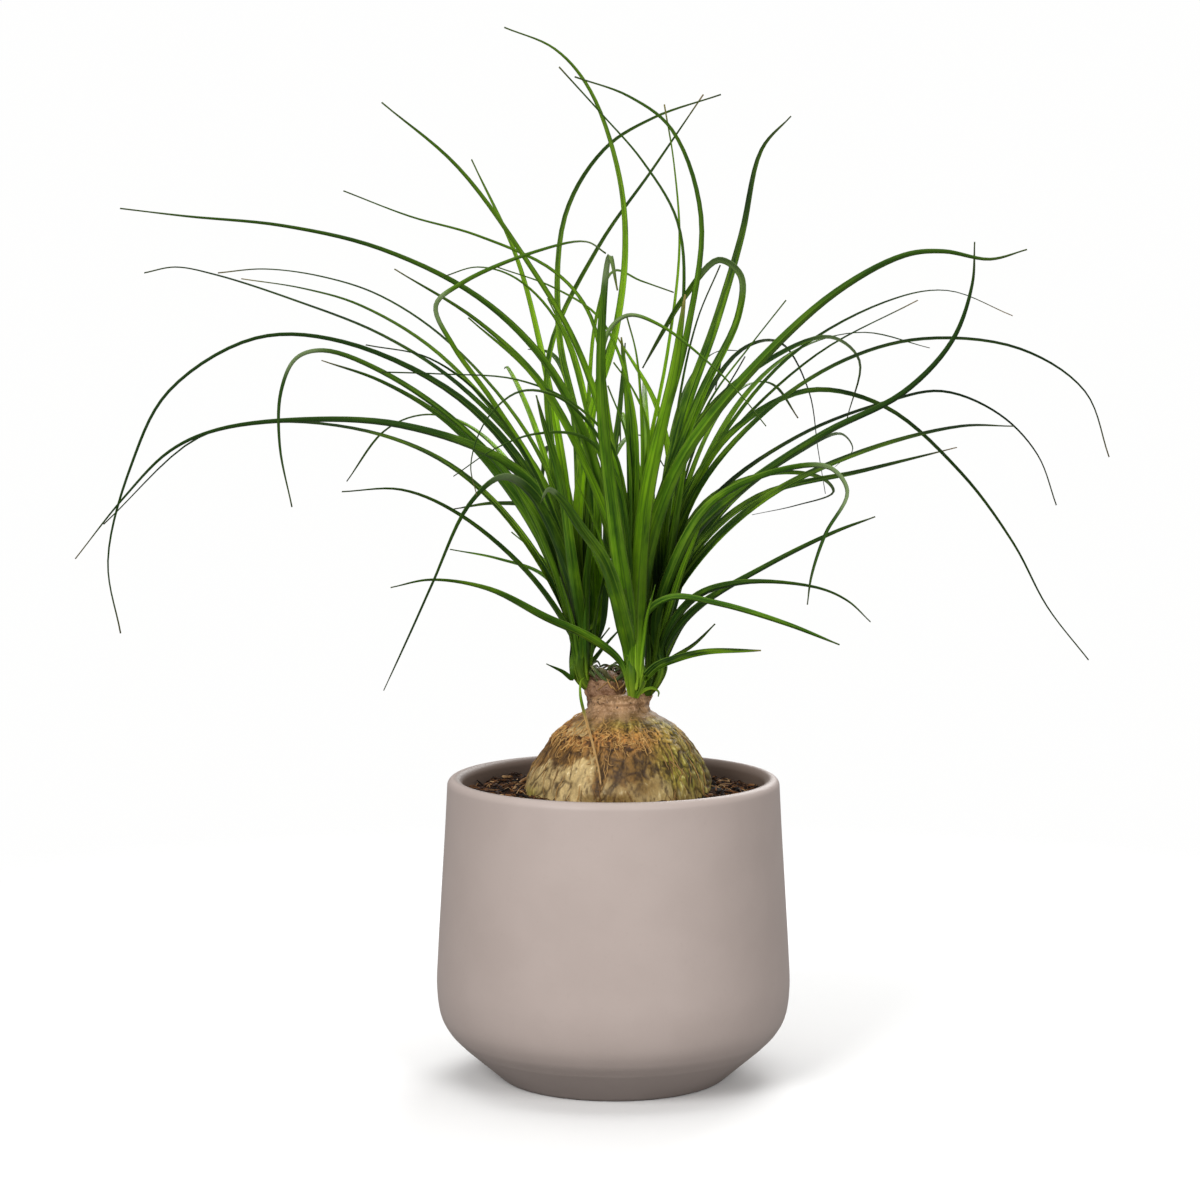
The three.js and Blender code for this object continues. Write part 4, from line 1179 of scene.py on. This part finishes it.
class Signal:
    """A socket in a node tree, with arithmetic: each operator adds its Math node."""

    def __init__(self, tree, socket):
        self.tree = tree
        self.socket = socket

    def __add__(self, other):
        return self.tree.math("ADD", self, other)

    def __sub__(self, other):
        return self.tree.math("SUBTRACT", self, other)

    def __rsub__(self, other):
        return self.tree.math("SUBTRACT", other, self)

    def __mul__(self, other):
        return self.tree.math("MULTIPLY", self, other)

    __radd__ = __add__
    __rmul__ = __mul__


def colour(red, green, blue):
    """A colour given as it shows, 0 to 255, as the linear values that a shader takes."""
    shares = np.array([red, green, blue]) / 255
    linear = np.where(shares <= 0.04045, shares / 12.92, ((shares + 0.055) / 1.055) ** 2.4)
    return (*linear.tolist(), 1.0)


class Tree:
    """The nodes of a material or of the world, and the links between them."""

    def __init__(self, node_tree):
        self.nodes = node_tree.nodes
        self.links = node_tree.links

    def feed(self, socket, value):
        """Links a signal to a socket, or sets the socket to a plain value."""
        if isinstance(value, Signal):
            self.links.new(value.socket, socket)
        else:
            socket.default_value = value

    def node(self, kind, settings, inputs, output=0):
        """Any node: its type, its settings, then the values or links of its sockets."""
        made = self.nodes.new("ShaderNode" + kind)
        for name, value in settings.items():
            setattr(made, name, value)
        for name, value in inputs.items():
            self.feed(made.inputs[name], value)
        return Signal(self, made.outputs[output])

    def math(self, operation, first, second=0.0):
        """Arithmetic on one value or two."""
        return self.node("Math", {"operation": operation}, {0: first, 1: second})

    def by_ray(self, seen, lit):
        """A number that is seen to the camera and lit to every other ray."""
        ray = self.node("LightPath", {}, {}, "Is Camera Ray")
        return self.node("MapRange", {}, {"Value": ray, "To Min": lit, "To Max": seen}, "Result")


class Paint(Tree):
    """A material and its nodes, which end in one Principled shader."""

    def __init__(self, name):
        self.material = bpy.data.materials.new(name)
        self.material.use_nodes = True
        super().__init__(self.material.node_tree)
        self.shader = self.nodes["Principled BSDF"]

    def value(self, name):
        """A piece's own value by name."""
        return self.node("Attribute", {"attribute_name": name}, {}, "Fac")

    def place(self):
        """Object coordinates, in metres."""
        return self.node("TexCoord", {}, {}, "Object")

    def stretched(self, scale):
        """Object coordinates times a scale for each axis, so that a pattern is drawn out."""
        return self.node("VectorMath", {"operation": "MULTIPLY"}, {0: self.place(), 1: scale})

    def vector(self, x, y, z):
        """Three values as a vector."""
        return self.node("CombineXYZ", {}, {"X": x, "Y": y, "Z": z})

    def noise(self, vector, scale, detail=3.0, rough=0.55):
        """Cloudy noise round 0.5, with finer noise on it as its detail and roughness ask."""
        inputs = {"Vector": vector, "Scale": scale, "Detail": detail, "Roughness": rough}
        return self.node("TexNoise", {}, inputs)

    def between(self, start, end, value):
        """0 up to the start and 1 from the end on, with a smooth rise between them. A start above the
        end turns it round."""
        settings = {"interpolation_type": "SMOOTHSTEP"}
        inputs = {"Value": value, "From Min": start, "From Max": end}
        return self.node("MapRange", settings, inputs, "Result")

    def mix(self, share, first, second):
        """The first colour where share is 0 and the second where it is 1."""
        return self.node("Mix", {"data_type": "RGBA"}, {0: share, 6: first, 7: second}, 2)

    def layered(self, base, *layers):
        """A colour under layers of (share, shown colour), laid over it in turn."""
        for share, shown in layers:
            base = self.mix(share, base, colour(*shown))
        return base

    def darker(self, base, amount):
        """A colour times a grey amount."""
        grey = self.node("CombineColor", {}, {"Red": amount, "Green": amount, "Blue": amount})
        settings = {"data_type": "RGBA", "blend_type": "MULTIPLY"}
        return self.node("Mix", settings, {0: 1.0, 6: base, 7: grey}, 2)

    def relief(self, height, depth, strength=1.0):
        """A bump whose heights are in metres times the depth."""
        return self.node("Bump", {}, {"Height": height, "Distance": depth, "Strength": strength})

    def lit_through(self, share, tint):
        """Lets a share of the light through from behind, in the colour given."""
        through = self.node("BsdfTranslucent", {}, {"Color": tint})
        return self.ending(share, through)

    def ending(self, share, second):
        """Ends the material in its shader where share is 0 and in the second where it is 1."""
        mixed = self.node("MixShader", {}, {0: share, 1: Signal(self, self.shader.outputs[0]), 2: second})
        self.links.new(mixed.socket, self.nodes["Material Output"].inputs["Surface"])
        return self.material

    def finish(self, **inputs):
        """Sets the shader's sockets, with spaces written as underscores, and gives the material."""
        for name, value in inputs.items():
            self.feed(self.shader.inputs[name.replace("_", " ")], value)
        return self.material


def pot_material():
    """Matte taupe stoneware: even, with a faint cloudiness and a fine grain, and painted shade inside."""
    paint = Paint("pot_matte")
    cloud = paint.noise(paint.place(), 30.0, detail=4.0)
    grain = paint.noise(paint.place(), 1400.0, detail=2.0)
    speck = paint.noise(paint.place(), 420.0)
    base = paint.layered(
        colour(182, 167, 160),
        (paint.between(0.3, 0.7, cloud), (186, 171, 164)),
        (paint.between(0.6, 0.78, speck) * 0.1, (150, 134, 126)),
        # painted shade down the inside of the pot
        (paint.value("inside") * 0.92, (108, 91, 80)),
    )
    return paint.finish(
        Base_Color=base,
        Roughness=0.44 + 0.08 * cloud,
        Specular_IOR_Level=0.4,
        Normal=paint.relief(grain + speck, 0.00005, 0.5),
    )


def soil_material(name, lift):
    """Coir and bark, from nearly black to straw by the piece's tint, with a fibrous grain."""
    paint = Paint(name)
    grain = paint.noise(paint.place(), 900.0, detail=4.0, rough=0.7)
    broad = paint.noise(paint.place(), 160.0)
    paleness = paint.value("tint") * 0.75 + broad * 0.35 + lift
    base = paint.layered(
        colour(13, 6, 3),
        (paint.between(0.3, 0.65, paleness), (50, 28, 14)),
        (paint.between(0.68, 0.9, paleness), (116, 75, 38)),
        (paint.between(0.92, 1.0, paleness), (184, 148, 104)),
    )
    return paint.finish(
        Base_Color=paint.darker(base, 0.5 + 0.76 * grain),
        Roughness=0.85,
        Specular_IOR_Level=0.25,
        Normal=paint.relief(grain, 0.0004),
    )


def bark_material():
    """Corky bark: torn beige flakes low down over brown, with painted highlights, a collar of orange-brown
    fibres, a pinkish brown neck with painted shade in its pits, dark cracks, green where the light has
    kept it growing, and olive painted shade on the shoulder under the front head."""
    paint = Paint("bark")
    fleck = paint.noise(paint.place(), 800.0, detail=4.0, rough=0.7)
    drawn = paint.noise(paint.stretched((650.0, 650.0, 150.0)), 1.0, detail=4.0, rough=0.65)
    broad = paint.noise(paint.place(), 130.0, detail=4.0)
    painted_pit_shade = paint.noise(paint.place(), 330.0, detail=2.0)
    tint, collar, green = paint.value("tint"), paint.value("collar"), paint.value("green")
    streak = paint.value("fibre") * 0.65 + drawn * 0.35

    brown = paint.layered(colour(80, 54, 18), (paint.between(0.34, 0.64, streak), (140, 102, 46)))
    brown = paint.darker(brown, 0.78 + 0.4 * tint)
    brown = paint.layered(brown, (paint.between(0.56, 0.74, broad) * 0.3, (160, 116, 54)))
    curly = paint.layered(colour(78, 44, 14), (paint.between(0.36, 0.64, streak), (208, 144, 76)))
    flake = paint.layered(
        colour(142, 112, 58),
        (tint, (216, 188, 130)),
        (paint.between(0.46, 0.32, streak) * 0.6, (88, 60, 22)),
        # painted highlights on the pale flakes
        (paint.between(0.58, 0.76, streak) * 0.7, (246, 230, 184)),
    )
    growing = paint.layered(
        colour(64, 62, 14),
        (paint.between(0.34, 0.56, streak), (158, 148, 52)),
        (paint.between(0.58, 0.72, streak) * (1 - 0.6 * collar), (222, 214, 128)),
    )
    neck = paint.layered(
        colour(138, 102, 66),
        (paint.between(0.35, 0.65, broad), (196, 154, 112)),
        (paint.between(0.5, 0.62, fleck) * 0.5, (206, 168, 136)),
        # painted shade in small pits of the neck
        (paint.between(0.6, 0.68, painted_pit_shade) * 0.9, (44, 26, 14)),
        (collar * 0.55, (112, 76, 56)),
        # On the trunk's shoulder this green is mostly the olive painted shade under the front head
        (green * 0.85, (106, 88, 42)),
    )
    base = paint.mix(collar, brown, curly)
    base = paint.mix(paint.value("pale") * (0.7 + 0.3 * streak), base, flake)
    # Green growth, and where the olive patches lie, painted shade under the front head
    base = paint.mix(green * 0.85, base, growing)
    base = paint.mix(paint.value("neck"), base, neck)
    base = paint.layered(base, (paint.value("crack") * 0.85, (50, 30, 12)))
    return paint.finish(
        Base_Color=paint.darker(base, 0.55 + 0.6 * streak + 0.9 * (fleck - 0.42)),
        Roughness=0.34 + 0.35 * fleck,
        Specular_IOR_Level=0.35,
        Normal=paint.relief(drawn * 0.6 + fleck * 0.4, 0.0008),
    )


def strand_material():
    """Dry fibres torn off the bark, from brown to straw by each one's tint."""
    paint = Paint("bark_fibre")
    grain = paint.noise(paint.place(), 900.0)
    base = paint.layered(colour(100, 66, 28), (paint.value("tint"), (212, 166, 96)))
    return paint.finish(Base_Color=paint.darker(base, 0.7 + 0.5 * grain), Roughness=0.7)


def leaf_material():
    """Strap leaves: yellow-green near the head and deep green further out, brighter or darker by the
    leaf's tone, with veins, painted shade in the crease at the rib, one half darker as painted shade,
    painted sheen where the blade bends, painted shade deep inside each head, and greyer undersides."""
    paint = Paint("leaf")
    across, length, part = paint.value("across"), paint.value("length"), paint.value("part")
    under, tone, dry = paint.value("under"), paint.value("tone"), paint.value("dry")
    vein = paint.noise(paint.vector(across * 9.0, length * 1.4, tone * 40.0), 1.0, rough=0.6)
    far = paint.between(0.6, 2.0, length)
    fine = paint.noise(paint.vector(across * 22.0, length * 2.5, tone * 40.0), 1.0, detail=2.0)
    fine = 0.5 + (fine - 0.5) * (1 - 0.7 * far)
    patch = paint.noise(paint.vector(across * 1.2, length * 4.0, tone * 60.0), 1.0)
    from_rib = paint.math("ABSOLUTE", across - 0.5)
    edge = paint.between(0.42, 0.49, from_rib)
    painted_rib_shade = paint.between(0.06, 0.01, from_rib)
    # One half of each blade is darkened as painted shade on one side of its fold.
    painted_half_shade = paint.between(0.48, 0.54, across)
    foot = (1 - paint.between(0.0, 0.25, length)) * (1 - 0.7 * paint.between(0.1, 0.4, from_rib))

    green = paint.layered(
        colour(6, 30, 1),
        (paint.between(0.0, 0.5, tone), (62, 106, 4)),
        (paint.between(0.45, 1.0, tone), (130, 184, 10)),
        (paint.between(0.45, 0.7, patch) * (0.25 + 0.5 * tone), (156, 206, 22)),
        (paint.between(0.5, 0.28, patch) * 0.7, (14, 50, 2)),
        (paint.between(0.5, 0.66, vein) * (0.3 + 0.5 * tone), (156, 196, 56)),
        (paint.between(0.48, 0.34, vein) * 0.6, (16, 50, 2)),
        (paint.between(1.1, 2.5, length) * (1.0 - 0.58 * tone), (6, 28, 3)),
        (paint.between(2.0, 3.2, length) * 0.45, (10, 40, 4)),
        (under * 0.35, (60, 100, 30)),
        (edge * (0.5 - 0.35 * far), (150, 188, 76)),
        # painted shade in the crease along the rib
        (painted_rib_shade * 0.5, (20, 52, 4)),
        (foot * (0.5 + 0.45 * tone), (172, 206, 60)),
        # painted shade deep inside each head's bundle of leaves
        (paint.value("shaded") * 0.8, (6, 25, 1)),
        # painted sheen where the blade bends hard, more of it on the underside
        (paint.value("silver") * (0.3 + 0.4 * under), (140, 160, 112)),
        (paint.between(0.9, 1.0, part) * 0.5, (70, 78, 36)),
    )
    straw = paint.layered(colour(190, 148, 90), (paint.between(0.4, 0.7, vein), (232, 200, 142)))
    base = paint.darker(paint.mix(dry, green, straw), 1.0 + 0.4 * fine - 0.2 * painted_half_shade)
    paint.finish(
        Base_Color=base,
        Roughness=0.4 + 0.14 * vein + 0.2 * dry,
        Specular_IOR_Level=0.16,
        Normal=paint.relief(vein + 0.5 * fine, 0.0004, 0.9),
    )
    return paint.lit_through(0.22, base)


def scale_material():
    """Withered leaf bases: dark brown to faded green by each one's tone, with a few cream streaks that
    are painted glints.
    """
    paint = Paint("withered")
    tone, across, length = paint.value("tone"), paint.value("across"), paint.value("length")
    vein = paint.noise(paint.vector(across * 9.0, length * 12.0, tone * 40.0), 1.0, detail=4.0, rough=0.7)
    edge = paint.between(0.3, 0.46, paint.math("ABSOLUTE", across - 0.5))
    base = paint.layered(
        colour(84, 54, 32),
        (paint.between(0.3, 0.7, tone), (68, 90, 30)),
        (edge * 0.5, (176, 160, 118)),
        # painted glints: cream streaks along the withered strips
        (paint.between(0.64, 0.72, vein), (214, 192, 156)),
    )
    return paint.finish(
        Base_Color=paint.darker(base, 0.45 + 0.9 * vein),
        Roughness=0.55,
        Normal=paint.relief(vein, 0.0004),
    )


# The plant and its pot

chance = np.random.default_rng(CHANCE_SEED)
shading = np.random.default_rng(SHADE_SEED)
leaf_finish = leaf_material()
bark_finish = bark_material()
loose = {"left": [hanging_shell()], "front": [], "right": [sheath_shell()]}
leaves = all_leaves()
for head in CORES:
    own = [leaf for leaf in leaves if leaf.head == head]
    shell = joined([head_shell(head, own, chance, shading), *loose[head]])
    piece(f"leaves_{head}", shell, leaf_finish, f"leaf_head_{head}")
trunk = trunk_shell()
piece("trunk", trunk, bark_finish, "caudex")
piece("bark_fibres", strands_on_trunk(trunk, chance), strand_material())
piece("neck", neck_shell(), bark_finish)
piece("withered_scales", scales_shell(chance), scale_material())
piece("stump_straps", straps_shell(chance), strand_material())
piece("planter", pot_shell(), pot_material(), "pot")
piece("soil_bed", soil_shell(), soil_material("soil_dark", 0.0), "soil")
piece("bark_chips", chips_shell(chance), soil_material("soil_chips", 0.04))
piece("coir_fibres", fibres_shell(chance), soil_material("soil_fibres", 0.1))


# Floor, light and camera

def floor():
    """A white disc, level with the pot's foot, that fades into the white round it."""
    paint = Paint("floor_white")
    amount = paint.by_ray(FLOOR_SEEN, FLOOR_LIT)
    white = paint.node("CombineColor", {}, {"Red": amount, "Green": amount, "Blue": amount * 0.995})
    paint.finish(Base_Color=white, Roughness=0.9, Specular_IOR_Level=0.0)
    away = paint.node("VectorMath", {"operation": "LENGTH"}, {0: paint.place()}, "Value")
    clear = paint.node("BsdfTransparent", {}, {})
    paint.ending(paint.between(FADE_FROM, FLOOR_RADIUS_SEEN, away), clear)
    angle = np.linspace(0, TURN, FLOOR_SIDES, endpoint=False)
    rim = np.stack([np.cos(angle), np.sin(angle), 0 * angle], axis=1) * FLOOR_RADIUS_SEEN
    mesh = bpy.data.meshes.new("floor")
    mesh.from_pydata(rim.tolist(), [], [list(range(FLOOR_SIDES))])
    mesh.materials.append(paint.material)
    new_object("floor", mesh)


def softbox(name, place, aim_height, size, power):
    """A square area light that faces a height on the pot's axis, in metres and watts."""
    light = bpy.data.lights.new(name, "AREA")
    light.shape = "SQUARE"
    light.size = size
    light.energy = power
    x, y, above = np.array(place) - (0, 0, aim_height)
    thing = new_object(name, light)
    thing.location = place
    thing.rotation_euler = (math.atan2(math.hypot(x, y), above), 0, math.atan2(x, -y))


def surroundings():
    """White light from all round, shown whiter behind the plant than it lights it."""
    world = bpy.data.worlds.new("studio")
    bpy.context.scene.world = world
    world.use_nodes = True
    tree = Tree(world.node_tree)
    backdrop = tree.nodes["Background"].inputs
    tree.feed(backdrop["Color"], BACKDROP_COLOUR)
    tree.feed(backdrop["Strength"], tree.by_ray(BACKDROP_SEEN, AMBIENT))


def camera():
    """The photograph's eye: straight ahead along +Y, tipped down to the look height."""
    lens = bpy.data.cameras.new("camera")
    lens.lens = LENS
    lens.sensor_width = SENSOR
    thing = new_object("camera", lens)
    thing.location = tuple(value * MM for value in EYE)
    down = math.atan2(EYE[2] - LOOK_HEIGHT, -EYE[1])
    thing.rotation_euler = (math.pi / 2 - down, 0, 0)
    bpy.context.scene.camera = thing


floor()
surroundings()
for name, light in SOFTBOXES.items():
    softbox(name, *light)
camera()
bpy.context.scene.view_settings.view_transform = "Standard"
